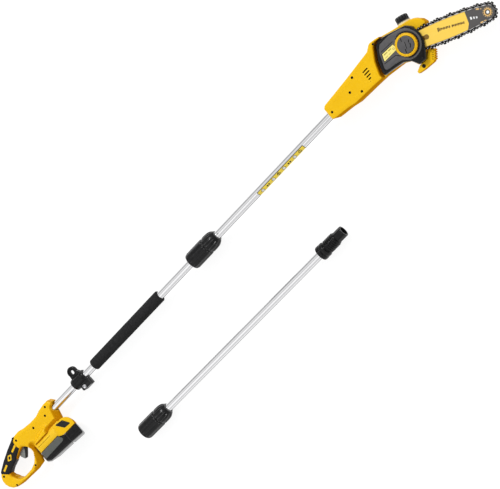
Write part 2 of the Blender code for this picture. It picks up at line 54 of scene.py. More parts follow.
TUBE_LOW, TUBE_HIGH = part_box("upper_tube")
TUBE_START = 112.3
ORIGIN = Vector(
    (
        TUBE_LOW.x - TUBE_START * MM,
        (TUBE_LOW.y + TUBE_HIGH.y) / 2,
        (TUBE_LOW.z + TUBE_HIGH.z) / 2,
    )
)
TO_FRAME = Matrix.Translation(ORIGIN) @ Matrix.Scale(MM, 4)
ALONG_X = Matrix(((0, 0, 1, 0), (1, 0, 0, 0), (0, 1, 0, 0), (0, 0, 0, 1)))
TAU = 2 * math.pi
WELD, CUT_WELD = 2e-6, 2e-5
CREASE = 32

# ---------------------------------------------------------------- outlines in the plane


def arc(centre, radius, start, stop, count):
    """Points along an arc, angles in degrees, both ends included."""
    angles = [math.radians(start + (stop - start) * i / count) for i in range(count + 1)]
    return [(centre[0] + radius * math.cos(a), centre[1] + radius * math.sin(a)) for a in angles]


def circle(centre, radius, sides):
    return arc(centre, radius, 0, 360, sides)[:-1]


def area(loop):
    pairs = zip(loop, loop[1:] + loop[:1])
    return sum(a[0] * b[1] - b[0] * a[1] for a, b in pairs) / 2


def wound(loop, hole=False):
    """The loop anticlockwise, or clockwise for a hole."""
    return list(loop) if (area(loop) > 0) != hole else list(loop)[::-1]


def divided(loop, step):
    """The closed loop with no edge longer than step."""
    points = []
    for a, b in zip(loop, loop[1:] + loop[:1]):
        count = max(1, math.ceil(math.dist(a, b) / step))
        points += [tuple(Vector(a).lerp(Vector(b), i / count)) for i in range(count)]
    return points


def rounded(loop, radius, step=3.0):
    """The closed loop with its corners filleted.  A point may carry its own radius."""
    points = []
    for i, corner in enumerate(loop):
        here = Vector(corner[:2])
        reach = corner[2] if len(corner) > 2 else radius
        back = Vector(loop[i - 1][:2]) - here
        ahead = Vector(loop[(i + 1) % len(loop)][:2]) - here
        half = back.angle(ahead) / 2
        if reach <= 0 or half > math.radians(88):
            points.append(tuple(here))
            continue
        cut = min(reach / math.tan(half), 0.48 * back.length, 0.48 * ahead.length)
        reach = cut * math.tan(half)
        start, stop = here + back.normalized() * cut, here + ahead.normalized() * cut
        centre = here + (back.normalized() + ahead.normalized()).normalized() * reach / math.sin(half)
        count = max(2, math.ceil((math.pi - 2 * half) / math.radians(15)))
        first, last = start - centre, stop - centre
        turn = first.angle_signed(last)
        for k in range(count + 1):
            swing = Matrix.Rotation(-turn * k / count, 2)
            points.append(tuple(centre + swing @ first))
    return divided(points, step)


def inset(loop, distance):
    """The closed loop with every edge moved to its left, corners kept mitred."""
    points = np.array(loop, float)
    edge = np.roll(points, -1, 0) - points
    edge /= np.linalg.norm(edge, axis=1, keepdims=True)
    normal = np.stack([-edge[:, 1], edge[:, 0]], 1)
    before = np.roll(normal, 1, 0)
    mitre = normal + before
    mitre /= np.linalg.norm(mitre, axis=1, keepdims=True)
    lean = np.clip((mitre * normal).sum(1, keepdims=True), 0.5, 1)
    return [tuple(p) for p in points + mitre * distance / lean]


def inside(points, loop):
    """Whether each point lies in the loop, by crossings."""
    a = np.array(loop, float)
    b = np.roll(a, -1, 0)
    x, y = points[:, :1], points[:, 1:]
    spans = (a[:, 1] > y) != (b[:, 1] > y)
    rise = np.where(b[:, 1] == a[:, 1], 1e-9, b[:, 1] - a[:, 1])
    cross = a[:, 0] + (y - a[:, 1]) * (b[:, 0] - a[:, 0]) / rise
    return (spans & (x < cross)).sum(1) % 2 == 1


def distance(points, path, closed=True):
    """Distance of each point from a path, never below zero."""
    a = np.array(path, float)
    b = np.roll(a, -1, 0)
    if not closed:
        a, b = a[:-1], b[:-1]
    found = np.full(len(points), np.inf)
    for start, stop in zip(a, b):
        along = stop - start
        length = max(along @ along, 1e-12)
        t = np.clip(((points - start) @ along) / length, 0, 1)
        gap = np.linalg.norm(points - start - t[:, None] * along, axis=1)
        found = np.minimum(found, gap)
    return found


def depth(points, loop):
    """Signed distance from the loop's edge, positive inside it."""
    gap = distance(points, loop)
    return np.where(inside(points, loop), gap, -gap)


def ramp(value, low, high):
    """0 below low, 1 above high, smooth between."""
    t = np.clip((value - low) / (high - low), 0, 1)
    return t * t * (3 - 2 * t)


# ---------------------------------------------------------------- solids


class Shape:
    """Closed surfaces, each face tagged with the number of its finish."""

    def __init__(self):
        self.verts, self.faces, self.tags = [], [], []

    def add(self, surface, tag=0, place=None):
        verts, faces = surface
        base = len(self.verts)
        self.verts += [place @ Vector(v) if place else Vector(v) for v in verts]
        self.faces += [tuple(base + i for i in face) for face in faces]
        self.tags += [tag] * len(faces)
        return self


def skin(rings, closed=False):
    """Walls through equally long rings.  Closed joins the last ring to the first."""
    sides = len(rings[0])
    verts = [tuple(p) for ring in rings for p in ring]
    faces = []
    steps = len(rings) if closed else len(rings) - 1
    for r in range(steps):
        low, high = r * sides, (r + 1) % len(rings) * sides
        for i in range(sides):
            j = (i + 1) % sides
            faces.append((low + i, low + j, high + j, high + i))
    if not closed:
        faces.append(tuple(range(sides))[::-1])
        faces.append(tuple(range((len(rings) - 1) * sides, len(rings) * sides)))
    return verts, faces


def turned(profile, sides=48, ribs=None, hollow=False):
    """Turns (height, radius) points about Z.  ribs gives what a station gains at an angle."""
    rings = []
    for station, (height, radius) in enumerate(profile):
        ring = []
        for k in range(sides):
            angle = TAU * k / sides
            reach = radius + (ribs(station, angle) if ribs else 0)
            ring.append((reach * math.cos(angle), reach * math.sin(angle), height))
        rings.append(ring)
    return skin(rings, closed=hollow)


def flat_cap(loops, height):
    """The flat area inside the first loop and outside the others."""
    points = [p for loop in loops for p in loop]
    found = tessellate_polygon([[Vector((*p, 0)) for p in loop] for loop in loops])
    return [(*p, height) for p in points], [tuple(f) for f in found]


def shaped_cap(loops, height, step):
    """The area inside the first loop and outside the others on a mesh of about that step,
    each point lifted to height(points)."""
    edge = [p for loop in loops for p in loop]
    links, base = [], 0
    for loop in loops:
        count = len(loop)
        links += [(base + i, base + (i + 1) % count) for i in range(count)]
        base += count
    low, high = np.min(loops[0], 0), np.max(loops[0], 0)
    rows = np.arange(low[1], high[1], step * 0.87)
    grid = np.array(
        [
            (x + (step / 2 if r % 2 else 0), y)
            for r, y in enumerate(rows)
            for x in np.arange(low[0], high[0], step)
        ]
    )
    keep = inside(grid, loops[0])
    for loop in loops:
        keep &= distance(grid, loop) > step * 0.55
        if loop is not loops[0]:
            keep &= ~inside(grid, loop)
    points = [Vector(p) for p in edge] + [Vector(p) for p in grid[keep]]
    flat, _, found, *_ = delaunay_2d_cdt(points, links, [], 0, 1e-5)
    flat = np.array([tuple(p) for p in flat])
    found = np.array([f for f in found if len(f) == 3])
    middle = flat[found].mean(1)
    real = inside(middle, loops[0])
    for hole in loops[1:]:
        real &= ~inside(middle, hole)
    lifted = height(flat)
    verts = [(x, y, z) for (x, y), z in zip(flat, lifted)]
    return verts, [tuple(map(int, f)) for f in found[real]]


def heights(height, points):
    """A height that is a number or a function of the points, at each point."""
    points = np.array(points, float)
    return height(points) if callable(height) else np.full(len(points), float(height))


def walls(loops, levels):
    """Side walls of several loops through (height, inset) levels, with no caps."""
    verts, faces = [], []
    for loop in loops:
        rings = []
        for height, gone in levels:
            ring = inset(loop, gone)
            rings.append([(*p, z) for p, z in zip(ring, heights(height, ring))])
        base = len(verts)
        more, found = skin(rings)
        verts += more
        faces += [tuple(base + i for i in f) for f in found[:-2]]
    return verts, faces


def slab(shape, loops, levels, tag=0, place=None, step=4.0):
    """A solid through (height, inset) levels, whose heights may be functions of the points."""
    loops = [wound(loop, hole=i > 0) for i, loop in enumerate(loops)]
    shape.add(walls(loops, levels), tag, place)
    for height, gone in (levels[0], levels[-1]):
        ends = [inset(loop, gone) for loop in loops]
        cap = shaped_cap(ends, height, step) if callable(height) else flat_cap(ends, height)
        shape.add(cap, tag, place)
    return shape


def block(shape, loops, low, high, tag=0, place=None):
    """A straight-sided solid between two heights."""
    return slab(shape, loops, [(low, 0), (high, 0)], tag, place)


def standing(x, y):
    """Puts a turned shape upright at a point of the plane."""
    return Matrix.Translation((x, y, 0))


def post(profile, sides, at, place=Matrix()):
    """A turned solid standing at a point of the plane."""
    return Shape().add(turned(profile, sides), 0, place @ standing(*at))


def shoulder(face, radius, up=1, steps=5):
    """(height, inset) levels of a rounded edge from a side wall up, or down, to a face."""
    levels = []
    for k in range(steps + 1):
        a = math.pi / 2 * k / steps
        drop = up * radius * (1 - math.sin(a))
        height = (lambda points, drop=drop: face(points) - drop) if callable(face) else face - drop
        levels.append((height, radius * (1 - math.cos(a))))
    return levels


def domed(loops, face, drop, reach):
    """A face that falls by drop towards the loops' edges, over that reach, like a quarter ellipse."""

    def height(points):
        rim = depth(points, loops[0])
        for hole in loops[1:]:
            rim = np.minimum(rim, distance(points, hole))
        t = 1 - np.clip(rim / reach, 0, 1)
        return face - drop * (1 - np.sqrt(1 - t * t))

    return height


def strip(a, b, width, radius=None):
    """A bar-shaped loop from a to b."""
    a, b = Vector(a), Vector(b)
    along = (b - a).normalized()
    side = Vector((-along.y, along.x)) * width / 2
    corners = [tuple(p) for p in (a + side, a - side, b - side, b + side)]
    return rounded(corners, width / 2.05 if radius is None else radius, 3)


def mesh_of(name, shape, finishes, crease):
    bm = bmesh.new()
    points = [bm.verts.new(TO_FRAME @ Vector(v)) for v in shape.verts]
    for face, tag in zip(shape.faces, shape.tags):
        if len(set(face)) > 2:
            bm.faces.new([points[i] for i in face]).material_index = tag
    bmesh.ops.remove_doubles(bm, verts=bm.verts, dist=WELD)
    bmesh.ops.dissolve_degenerate(bm, edges=bm.edges, dist=1e-7)
    bmesh.ops.recalc_face_normals(bm, faces=bm.faces)
    mesh = bpy.data.meshes.new(name)
    bm.to_mesh(mesh)
    bm.free()
    for finish in finishes:
        mesh.materials.append(finish)
    mesh.shade_smooth()
    mesh.set_sharp_from_angle(angle=math.radians(crease))
    return mesh


def piece(name, shape, finishes, body, slot, *nodes, crease=CREASE):
    """Makes a visible piece that rides on a body, with the finishes given, and stands for nodes.  The slot is
    not used.
    """
    finishes = finishes if isinstance(finishes, (list, tuple)) else [finishes]
    obj = bpy.data.objects.new(name, mesh_of(name, shape, finishes, crease))
    bpy.context.scene.collection.objects.link(obj)
    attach(obj, body)
    if nodes:
        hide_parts(*nodes)
    return obj


def carve(obj, shape, *finishes, own=False):
    """Cuts the shape out of a piece.  Cut faces take the finish of their tag, or the piece's own.
    own also joins overlapping parts of the piece."""
    mesh = mesh_of("cutter", shape, finishes or [obj.data.materials[0]], CREASE)
    cutter = bpy.data.objects.new("cutter", mesh)
    bpy.context.scene.collection.objects.link(cutter)
    boolean = obj.modifiers.new("cut", "BOOLEAN")
    boolean.solver, boolean.object, boolean.operation = "EXACT", cutter, "DIFFERENCE"
    boolean.material_mode, boolean.use_self = "TRANSFER", own
    bpy.context.view_layer.update()
    made = bpy.data.meshes.new_from_object(obj.evaluated_get(bpy.context.evaluated_depsgraph_get()))
    obj.modifiers.remove(boolean)
    bm = bmesh.new()
    bm.from_mesh(made)
    bmesh.ops.remove_doubles(bm, verts=bm.verts, dist=CUT_WELD)
    bmesh.ops.dissolve_degenerate(bm, edges=bm.edges, dist=1e-5)
    bmesh.ops.triangulate(bm, faces=[f for f in bm.faces if len(f.verts) > 4])
    bm.to_mesh(made)
    bm.free()
    obj.data = made
    made.name = obj.name
    made.shade_smooth()
    made.set_sharp_from_angle(angle=math.radians(CREASE))
    bpy.data.objects.remove(cutter)
    bpy.data.meshes.remove(mesh)
    return obj


def lean(obj, top, slope, fade, ends=None):
    """Draws a piece towards -X with depth below top, as much as fade(x, y) says, and towards +X
    by ends(z) where it doesn't."""
    for vertex in obj.data.vertices:
        place = TO_FRAME.inverted() @ vertex.co
        share = float(fade(place.x, place.y))
        vertex.co.x -= slope * max(0.0, top - place.z) * share * MM
        if ends:
            vertex.co.x += ends(place.z) * (1 - share) * MM
    obj.data.set_sharp_from_angle(angle=math.radians(CREASE))
    return obj


# ---------------------------------------------------------------- finishes


class Finish:
    """A Principled material whose colour, roughness and relief vary with fine noise."""

    def __init__(self, name, colour, roughness, metallic=0.0, specular=0.5):
        self.made = bpy.data.materials.new(name)
        self.made.use_nodes = True
        self.tree = self.made.node_tree
        self.shader = self.tree.nodes["Principled BSDF"]
        self.shader.inputs["Metallic"].default_value = metallic
        self.shader.inputs["Specular IOR Level"].default_value = specular
        self.shader.inputs["Base Color"].default_value = (*colour, 1)
        self.shader.inputs["Roughness"].default_value = roughness
        self.colour, self.roughness = colour, roughness
        self.place_node = self.node("ShaderNodeTexCoord")
        self.place = self.place_node.outputs["Object"]

    def node(self, kind, **values):
        node = self.tree.nodes.new(kind)
        for key, value in values.items():
            if key in node.inputs:
                node.inputs[key].default_value = value
            else:
                setattr(node, key, value)
        return node

    def link(self, source, target):
        self.tree.links.new(source, target)

    def pattern(self, kind, output, size_mm, stretch=(1, 1, 1), offset=(0, 0, 0), **values):
        """A texture's value, with features of about that size, stretched along the axes."""
        mapping = self.node("ShaderNodeMapping")
        mapping.inputs["Scale"].default_value = [1 / (size_mm * MM * s) for s in stretch]
        mapping.inputs["Location"].default_value = offset
        self.link(self.place, mapping.inputs["Vector"])
        texture = self.node(kind, Scale=1.0, **values)
        self.link(mapping.outputs["Vector"], texture.inputs["Vector"])
        return texture.outputs[output]

    def noise(self, size_mm, detail=3.0, stretch=(1, 1, 1), offset=(0, 0, 0)):
        return self.pattern("ShaderNodeTexNoise", "Fac", size_mm, stretch, offset, Detail=detail)

    def cells(self, size_mm):
        return self.pattern("ShaderNodeTexVoronoi", "Distance", size_mm)

    def spread(self, value, low, high, start=0.3, stop=0.7):
        node = self.node("ShaderNodeMapRange")
        for key, number in (("From Min", start), ("From Max", stop), ("To Min", low), ("To Max", high)):
            node.inputs[key].default_value = number
        self.link(value, node.inputs["Value"])
        return node.outputs["Result"]

    def blend_to(self, factor, other):
        """Mixes the colour so far towards another by factor."""
        mix = self.node("ShaderNodeMix", data_type="RGBA")
        base = self.shader.inputs["Base Color"]
        if base.is_linked:
            self.link(base.links[0].from_socket, mix.inputs[6])
        else:
            mix.inputs[6].default_value = base.default_value
        mix.inputs[7].default_value = (*other, 1)
        self.link(factor, mix.inputs[0])
        self.link(mix.outputs[2], base)
        return self

    def mottle(self, size_mm, other, amount, stretch=(1, 1, 1)):
        value = self.noise(size_mm, stretch=stretch)
        return self.blend_to(self.spread(value, 0.0, amount, 0.35, 0.65), other)

    # Lightens edges by pointiness: partly rubbed wear, partly painted highlight where edges catch the light.
    def edge_wear_and_highlight(self, other, amount=0.5, start=0.52, stop=0.62):
        pointy = self.node("ShaderNodeNewGeometry").outputs["Pointiness"]
        return self.blend_to(self.spread(pointy, 0.0, amount, start, stop), other)

    def facing(self, axis, start, stop, amount, other):
        """Blends towards another colour as the surface turns along an axis of the part."""
        normal = self.place_node.outputs["Normal"]
        dot = self.node("ShaderNodeVectorMath", operation="DOT_PRODUCT")
        self.link(normal, dot.inputs[0])
        dot.inputs[1].default_value = Vector(axis).normalized()
        return self.blend_to(self.spread(dot.outputs["Value"], 0.0, amount, start, stop), other)

    def vary_gloss(self, size_mm, change, stretch=(1, 1, 1)):
        value = self.noise(size_mm, 4.0, stretch, (3, 1, 2))
        low, high = self.roughness - change, self.roughness + change
        self.link(self.spread(value, max(low, 0.02), high), self.shader.inputs["Roughness"])
        return self

    def relief(self, value, depth_mm, strength=1.0):
        bump = self.node("ShaderNodeBump", Strength=strength, Distance=depth_mm * MM)
        normal = self.shader.inputs["Normal"]
        if normal.is_linked:
            self.link(normal.links[0].from_socket, bump.inputs["Normal"])
        self.link(value, bump.inputs["Height"])
        self.link(bump.outputs["Normal"], normal)
        return self

    def grain(self, size_mm, depth_mm, strength, stretch=(1, 1, 1)):
        return self.relief(self.noise(size_mm, 2.0, stretch), depth_mm, strength)

    def last_blend(self):
        """How far the last blend went, for other inputs to follow."""
        mix = self.shader.inputs["Base Color"].links[0].from_node
        return mix.inputs[0].links[0].from_socket


def moulded(name, colour, roughness, light, dark, specular=0.4):
    """Injection-moulded plastic: faint flow marks, a sparked grain, and edges lightened both as rubbed wear
    and as painted highlight.
    """
    finish = Finish(name, colour, roughness, specular=specular)
    finish.mottle(60, dark, 0.35, (3, 1, 1)).mottle(9, light, 0.12)
    # edges lightened: rubbed wear and painted highlight
    finish.edge_wear_and_highlight(light, 0.55).vary_gloss(14, 0.06)
    return finish.grain(0.9, 0.05, 0.35).made


def brushed(name, colour, roughness, dark, along=(40, 1, 1), metallic=1.0, specular=0.5):
    """Metal with drawing lines along one direction and small smudges."""
    finish = Finish(name, colour, roughness, metallic, specular)
    finish.mottle(0.7, dark, 0.35, along).mottle(18, dark, 0.25, (3, 1, 1))
    finish.vary_gloss(1.2, 0.05, along)
    return finish.grain(0.35, 0.01, 0.4, along).made


def foam_finish():
    finish = Finish("foam", (0.02, 0.02, 0.021), 0.93, specular=0.1)
    finish.mottle(6, (0.034, 0.034, 0.035), 0.8).mottle(1.4, (0.009, 0.009, 0.009), 0.6)
    finish.relief(finish.cells(1.1), 0.35, 0.8)
    return finish.grain(0.5, 0.12, 0.6).made


def rubber_finish():
    finish = Finish("rubber", (0.008, 0.008, 0.009), 0.6, specular=0.2)
    finish.mottle(12, (0.014, 0.014, 0.015), 0.7).vary_gloss(8, 0.08)
    finish.relief(finish.cells(1.6), 0.12, 0.5)
    return finish.grain(0.4, 0.05, 0.4).made


def ribbed_finish():
    """Black grips whose rib edges are painted grey as highlights."""
    finish = Finish("ribbed_black", (0.004, 0.004, 0.0045), 0.24, specular=0.24)
    # painted highlight: rib edges lightened to grey by pointiness
    finish.mottle(9, (0.014, 0.014, 0.015), 0.5).edge_wear_and_highlight((0.26, 0.26, 0.26), 0.95, 0.525, 0.57)
    return finish.vary_gloss(14, 0.05).grain(0.9, 0.04, 0.3).made


def yellow_finish():
    """The body's yellow, with painted shade deepening it where it turns down to the sides and on walls facing
    +X and -Y, and painted highlights on its edges.
    """
    finish = Finish("yellow", (0.86, 0.505, 0.002), 0.34, specular=0.13)
    finish.mottle(60, (0.76, 0.4, 0.002), 0.3, (3, 1, 1)).mottle(9, (0.93, 0.62, 0.04), 0.12)
    # painted shade: deeper orange as the surface turns down from +Z
    finish.facing((0, 0, 1), 0.85, 0.2, 0.7, (0.62, 0.27, 0.001))
    # painted shade: darker still on walls facing +X and -Y
    finish.facing((0.75, -0.66, 0), 0.1, 0.55, 0.85, (0.5, 0.19, 0.001))
    # the painted shade also lowers the specular level where it lies
    shadow = finish.last_blend()
    finish.link(finish.spread(shadow, 0.13, 0.0, 0.0, 0.6), finish.shader.inputs["Specular IOR Level"])
    # painted highlight: edges lightened by pointiness
    finish.edge_wear_and_highlight((0.96, 0.7, 0.08), 0.5).vary_gloss(14, 0.06)
    return finish.grain(0.9, 0.05, 0.35).made


def tube_finish():
    """Drawn and anodised tube: fine lines along it, a dark reflection painted along its lower -Y edge and a
    grey one along its +Y edge.
    """
    finish = Finish("aluminium", (0.86, 0.86, 0.87), 0.11, 1.0)
    finish.mottle(0.7, (0.74, 0.74, 0.75), 0.3, (40, 1, 1)).mottle(18, (0.78, 0.78, 0.79), 0.25, (3, 1, 1))
    # painted reflection: the -Y edge darkened as if mirroring a dark underside, its metal and specular faded
    # there
    finish.facing((0, -1, -0.12), 0.82, 0.95, 0.95, (0.11, 0.1, 0.11))
    shadow = finish.last_blend()
    for key in ("Metallic", "Specular IOR Level"):
        target = finish.shader.inputs[key]
        finish.link(finish.spread(shadow, target.default_value, 0.0, 0.0, 1.0), target)
    # painted reflection: a grey line along the +Y edge
    finish.facing((0, 1, -0.1), 0.9, 1.0, 0.4, (0.4, 0.4, 0.41))
    finish.vary_gloss(1.2, 0.02, (40, 1, 1))
    return finish.grain(0.35, 0.004, 0.3, (40, 1, 1)).made


yellow = yellow_finish()
deepest = (0.002, 0.002, 0.002)
gloss_black = moulded("gloss_black", (0.004, 0.004, 0.0045), 0.19, (0.04, 0.04, 0.042), deepest, 0.22)
ribbed_black = ribbed_finish()
near_black = (0.004, 0.004, 0.004)
satin_black = moulded("satin_black", (0.009, 0.009, 0.01), 0.34, (0.05, 0.05, 0.05), near_black, 0.25)
charcoal = moulded("charcoal", (0.082, 0.08, 0.084), 0.45, (0.17, 0.17, 0.17), (0.06, 0.06, 0.062), 0.3)
mid_grey = moulded("mid_grey", (0.088, 0.097, 0.088), 0.5, (0.2, 0.2, 0.2), (0.09, 0.09, 0.09), 0.3)
trigger_grey = moulded("trigger_grey", (0.19, 0.205, 0.195), 0.42, (0.3, 0.3, 0.3), (0.14, 0.15, 0.14), 0.3)
# hollow is painted shade: near-black brown laid on the cut faces of pits, vents, grooves, bores and the bar's
# mouth, and in the hook's notches, where only shade falls
hollow = moulded("hollow", (0.012, 0.003, 0.001), 0.7, (0.02, 0.006, 0.002), (0.005, 0.001, 0.001), 0.1)
rubber = rubber_finish()
foam = foam_finish()
aluminium = tube_finish()
steel = brushed("steel", (0.62, 0.62, 0.64), 0.3, (0.38, 0.38, 0.4), (1, 1, 1))
black_steel = brushed("black_steel", (0.02, 0.02, 0.021), 0.38, (0.008, 0.008, 0.009), (2, 1, 1), 0.3, 0.3)
rivet_steel = brushed("rivet_steel", (0.5, 0.5, 0.5), 0.4, (0.3, 0.3, 0.31), (1, 1, 1), 0.3)
chain_black = brushed("chain_black", (0.005, 0.005, 0.0055), 0.4, deepest, (1, 1, 1), 0.0, 0.12)
pale_yellow = moulded("pale_yellow", (0.9, 0.78, 0.2), 0.5, (0.95, 0.86, 0.35), (0.85, 0.66, 0.12))
label_yellow = moulded("label_yellow", (0.92, 0.8, 0.42), 0.45, (0.95, 0.9, 0.6), (0.85, 0.62, 0.2))
label_ink = moulded("label_ink", (0.3, 0.24, 0.03), 0.5, (0.4, 0.32, 0.06), (0.2, 0.15, 0.02))
bar_yellow = moulded("bar_yellow", (0.93, 0.59, 0.075), 0.4, (0.95, 0.68, 0.13), (0.88, 0.52, 0.05), 0.12)
bar_grey = brushed("bar_grey", (0.095, 0.09, 0.088), 0.42, (0.06, 0.057, 0.056), (1, 1, 1), 0.3)
bar_ink = moulded("bar_ink", (0.1, 0.05, 0.01), 0.5, (0.14, 0.08, 0.02), (0.06, 0.03, 0.006))
bar_pale = moulded("bar_pale", (0.85, 0.85, 0.84), 0.5, (0.9, 0.9, 0.9), (0.7, 0.7, 0.7))
bar_gold = moulded("bar_gold", (0.85, 0.5, 0.14), 0.45, (0.92, 0.62, 0.25), (0.75, 0.4, 0.08))
# painted shade: the shadowed yellow plate seen through the bar's slot end, painted as a brown disc
slot_shade_brown = moulded("slot_shade_brown", (0.2, 0.105, 0.012), 0.5, (0.28, 0.16, 0.03), (0.12, 0.06, 0.008), 0.2)
brass = brushed("brass", (0.82, 0.6, 0.28), 0.35, (0.5, 0.33, 0.12), (1, 1, 1))


# ---------------------------------------------------------------- stage


def build_stage():
    shape = Shape()
    half, corner = 20000, 6000
    floor_top, thickness = -38.4, 21.6
    rim = rounded([(-half, -half), (half, -half), (half, half), (-half, half)], corner, corner)
    block(shape, [rim], floor_top - thickness, floor_top)
    finish = Finish("floor", (0.2, 0.2, 0.2), 0.9, specular=0.0)
    finish.mottle(900, (0.22, 0.22, 0.22), 0.5)
    finish.shader.inputs["Emission Color"].default_value = (1, 1, 1, 1)
    finish.shader.inputs["Emission Strength"].default_value = 0.88
    floor = bpy.data.objects.new("floor", mesh_of("floor", shape, [finish.made], 30))
    bpy.context.scene.collection.objects.link(floor)
    studio_sky()
    for name, heading, strength, size in (
        ("key", (0.12, 0.6, 0.79), 1.5, 14),
        ("fill", (-0.55, -0.3, 0.75), 0.25, 40),
    ):
        light = bpy.data.lights.new(name, "SUN")
        light.energy, light.angle = strength, math.radians(size)
        lamp = bpy.data.objects.new(name, light)
        lamp.rotation_euler = Vector(heading).to_track_quat("Z", "Y").to_euler()
        bpy.context.scene.collection.objects.link(lamp)


def studio_sky():
    """Two long softboxes beside the pole, with greyer ceiling between them and beyond."""
    world = bpy.data.worlds.new("studio")
    world.use_nodes = True
    bpy.context.scene.world = world
    nodes, links = world.node_tree.nodes, world.node_tree.links
    split = nodes.new("ShaderNodeSeparateXYZ")
    links.new(nodes.new("ShaderNodeTexCoord").outputs["Generated"], split.inputs[0])
    across = nodes.new("ShaderNodeMapRange")
    across.inputs["From Min"].default_value = -1.0
    links.new(split.outputs["Y"], across.inputs["Value"])
    bands = nodes.new("ShaderNodeValToRGB")
    bands.color_ramp.interpolation = "EASE"
    stops = bands.color_ramp.elements
    levels = [(-0.95, 0.8), (-0.8, 0.9), (-0.55, 0.55), (-0.3, 0.5)]
    levels += [(0.1, 0.75), (0.5, 1.05), (0.85, 0.55), (0.97, 0.4)]
    for y, level in levels:
        stop = stops.new((y + 1) / 2)
        stop.color = (level, level, level, 1)
    stops.remove(stops[0])
    stops.remove(stops[-1])
    links.new(across.outputs["Result"], bands.inputs["Fac"])
    background = nodes["Background"]
    links.new(bands.outputs["Color"], background.inputs["Color"])
    background.inputs["Strength"].default_value = 0.9


def build_camera():
    """A long lens high over the head's side of the saw, rolled so that the pole climbs the frame."""
    place = Vector((1933.0, -736.4, 4111.3))
    aim = Vector((179.0, -86.7, 0.0))
    roll = math.radians(42.615)
    data = bpy.data.cameras.new("camera")
    data.lens, data.sensor_width = 115.2, 36.0
    data.clip_start, data.clip_end = 0.1, 50
    camera = bpy.data.objects.new("camera", data)
    bpy.context.scene.collection.objects.link(camera)
    back = (place - aim).normalized()
    right = Vector((0, 1, 0)).cross(back).normalized()
    turn = Matrix((right, back.cross(right), back)).transposed() @ Matrix.Rotation(-roll, 3, "Z")
    camera.matrix_world = Matrix.Translation(TO_FRAME @ place) @ turn.to_4x4()
    bpy.context.scene.camera = camera
    bpy.context.scene.view_settings.view_transform = "Standard"


# ---------------------------------------------------------------- pole, couplings and clamp

TUBE_R, TUBE_WALL = 12.0, 1.2
EXT_AXIS = (-247.0, -11.0)
COLLAR_X, EXT_COLLAR_X = 9.0, -487.0
COUPLER_X, EXT_PLUG_X = 11.0, 312.0
LOWER_TUBE, UPPER_TUBE, SPARE_TUBE = (-735.0, 20.4), (TUBE_START, 700.0), (-383.7, 321.4)
FOAM_ENDS, CLAMP_X = (-457.0, -140.0), -527.5
RIBS = 8


def on_axis(x, axis=(0.0, 0.0)):
    """Turns a shape about Z into one about the pole, standing at x."""
    return Matrix.Translation((x, *axis)) @ ALONG_X


def rib_wave(angle, count=RIBS, low=-0.45, high=0.15):
    return float(ramp(math.cos(count * angle), low, high))


def tube_shape(start, end, axis=(0.0, 0.0)):
    inner, lip = TUBE_R - TUBE_WALL, 0.3
    stops = [start + (end - start) * i / 24 for i in range(25)]
    profile = [(start, TUBE_R - lip), (start + lip, TUBE_R)] + [(x, TUBE_R) for x in stops[1:-1]]
    profile += [(end - lip, TUBE_R), (end, TUBE_R - lip), (end, inner), (start, inner)]
    return Shape().add(turned(profile, 72, hollow=True), 0, on_axis(0, axis))


def round_pin(shape, x, angle, tag):
    """A low domed rivet on a tube, at an angle from straight up towards -Y."""
    radius, height = 1.7, 0.5
    lean = math.radians(angle)
    out = Vector((0, -math.sin(lean), math.cos(lean)))
    foot = Vector((x, 0, 0)) + out * (TUBE_R - 0.4)
    place = Matrix.Translation(foot) @ out.to_track_quat("Z", "Y").to_matrix().to_4x4()
    dome = [(0, radius), (0.4, radius), (0.4 + height * 0.7, radius * 0.8), (0.4 + height, radius * 0.3)]
    shape.add(turned(dome, 20), tag, place)


def tube_label(start, end, first, last):
    """A sticker wrapped on the tube with a dark border and a row of plain shapes."""
    shape, skin_r = Shape(), TUBE_R + 0.12
    steps, turns = int((end - start) / 0.8), 44
    width = math.radians(last - first) * TUBE_R
    points = []
    for i in range(steps + 1):
        x = start + (end - start) * i / steps
        for k in range(turns + 1):
            lean = math.radians(first + (last - first) * k / turns)
            points.append((x, -math.sin(lean) * skin_r, math.cos(lean) * skin_r))
    for i in range(steps):
        along = (i + 0.5) / steps * (end - start)
        for k in range(turns):
            across = (k + 0.5) / turns * width
            shape.faces.append(
                tuple((i + a) * (turns + 1) + k + b for a, b in ((0, 0), (1, 0), (1, 1), (0, 1)))
            )
            shape.tags.append(label_mark(along, across, end - start, width))
    shape.verts = [Vector(p) for p in points]
    rim = [i * (turns + 1) for i in range(steps + 1)]
    rim += [steps * (turns + 1) + k for k in range(1, turns + 1)]
    rim += [i * (turns + 1) + turns for i in range(steps - 1, -1, -1)]
    rim += [k for k in range(turns - 1, 0, -1)]
    base = len(shape.verts)
    edge = [shape.verts[i] for i in rim]
    shape.verts += [Vector((p.x, *(Vector(p.yz) * (TUBE_R - 0.3) / skin_r))) for p in edge]
    for n in range(len(rim)):
        m = (n + 1) % len(rim)
        shape.faces.append((rim[n], rim[m], base + m, base + n))
        shape.tags.append(1)
    return shape


def label_mark(along, across, length, width):
    """0 ground, 1 dark, 2 pale."""
    if min(along, length - along, across, width - across) < 1.7:
        return 1
    pitch = (length - 14) / 8
    cell, local = divmod(along - 7, pitch)
    if not 0 <= cell < 8:
        return 0
    dx, dy = local - pitch / 2, across - width * 0.42
    reach = math.hypot(dx, dy)
    if cell % 4 == 1:
        return 1 if abs(dy) < 3 and 1.2 < abs(dx) < 6 else 0
    if cell % 4 == 3:
        return 1 if reach < 5.6 and (reach > 3.8 or abs(dx) < 1) else 0
    if reach < 4.6:
        return 2
    return 1 if reach < 5.9 and cell % 2 == 0 else 0


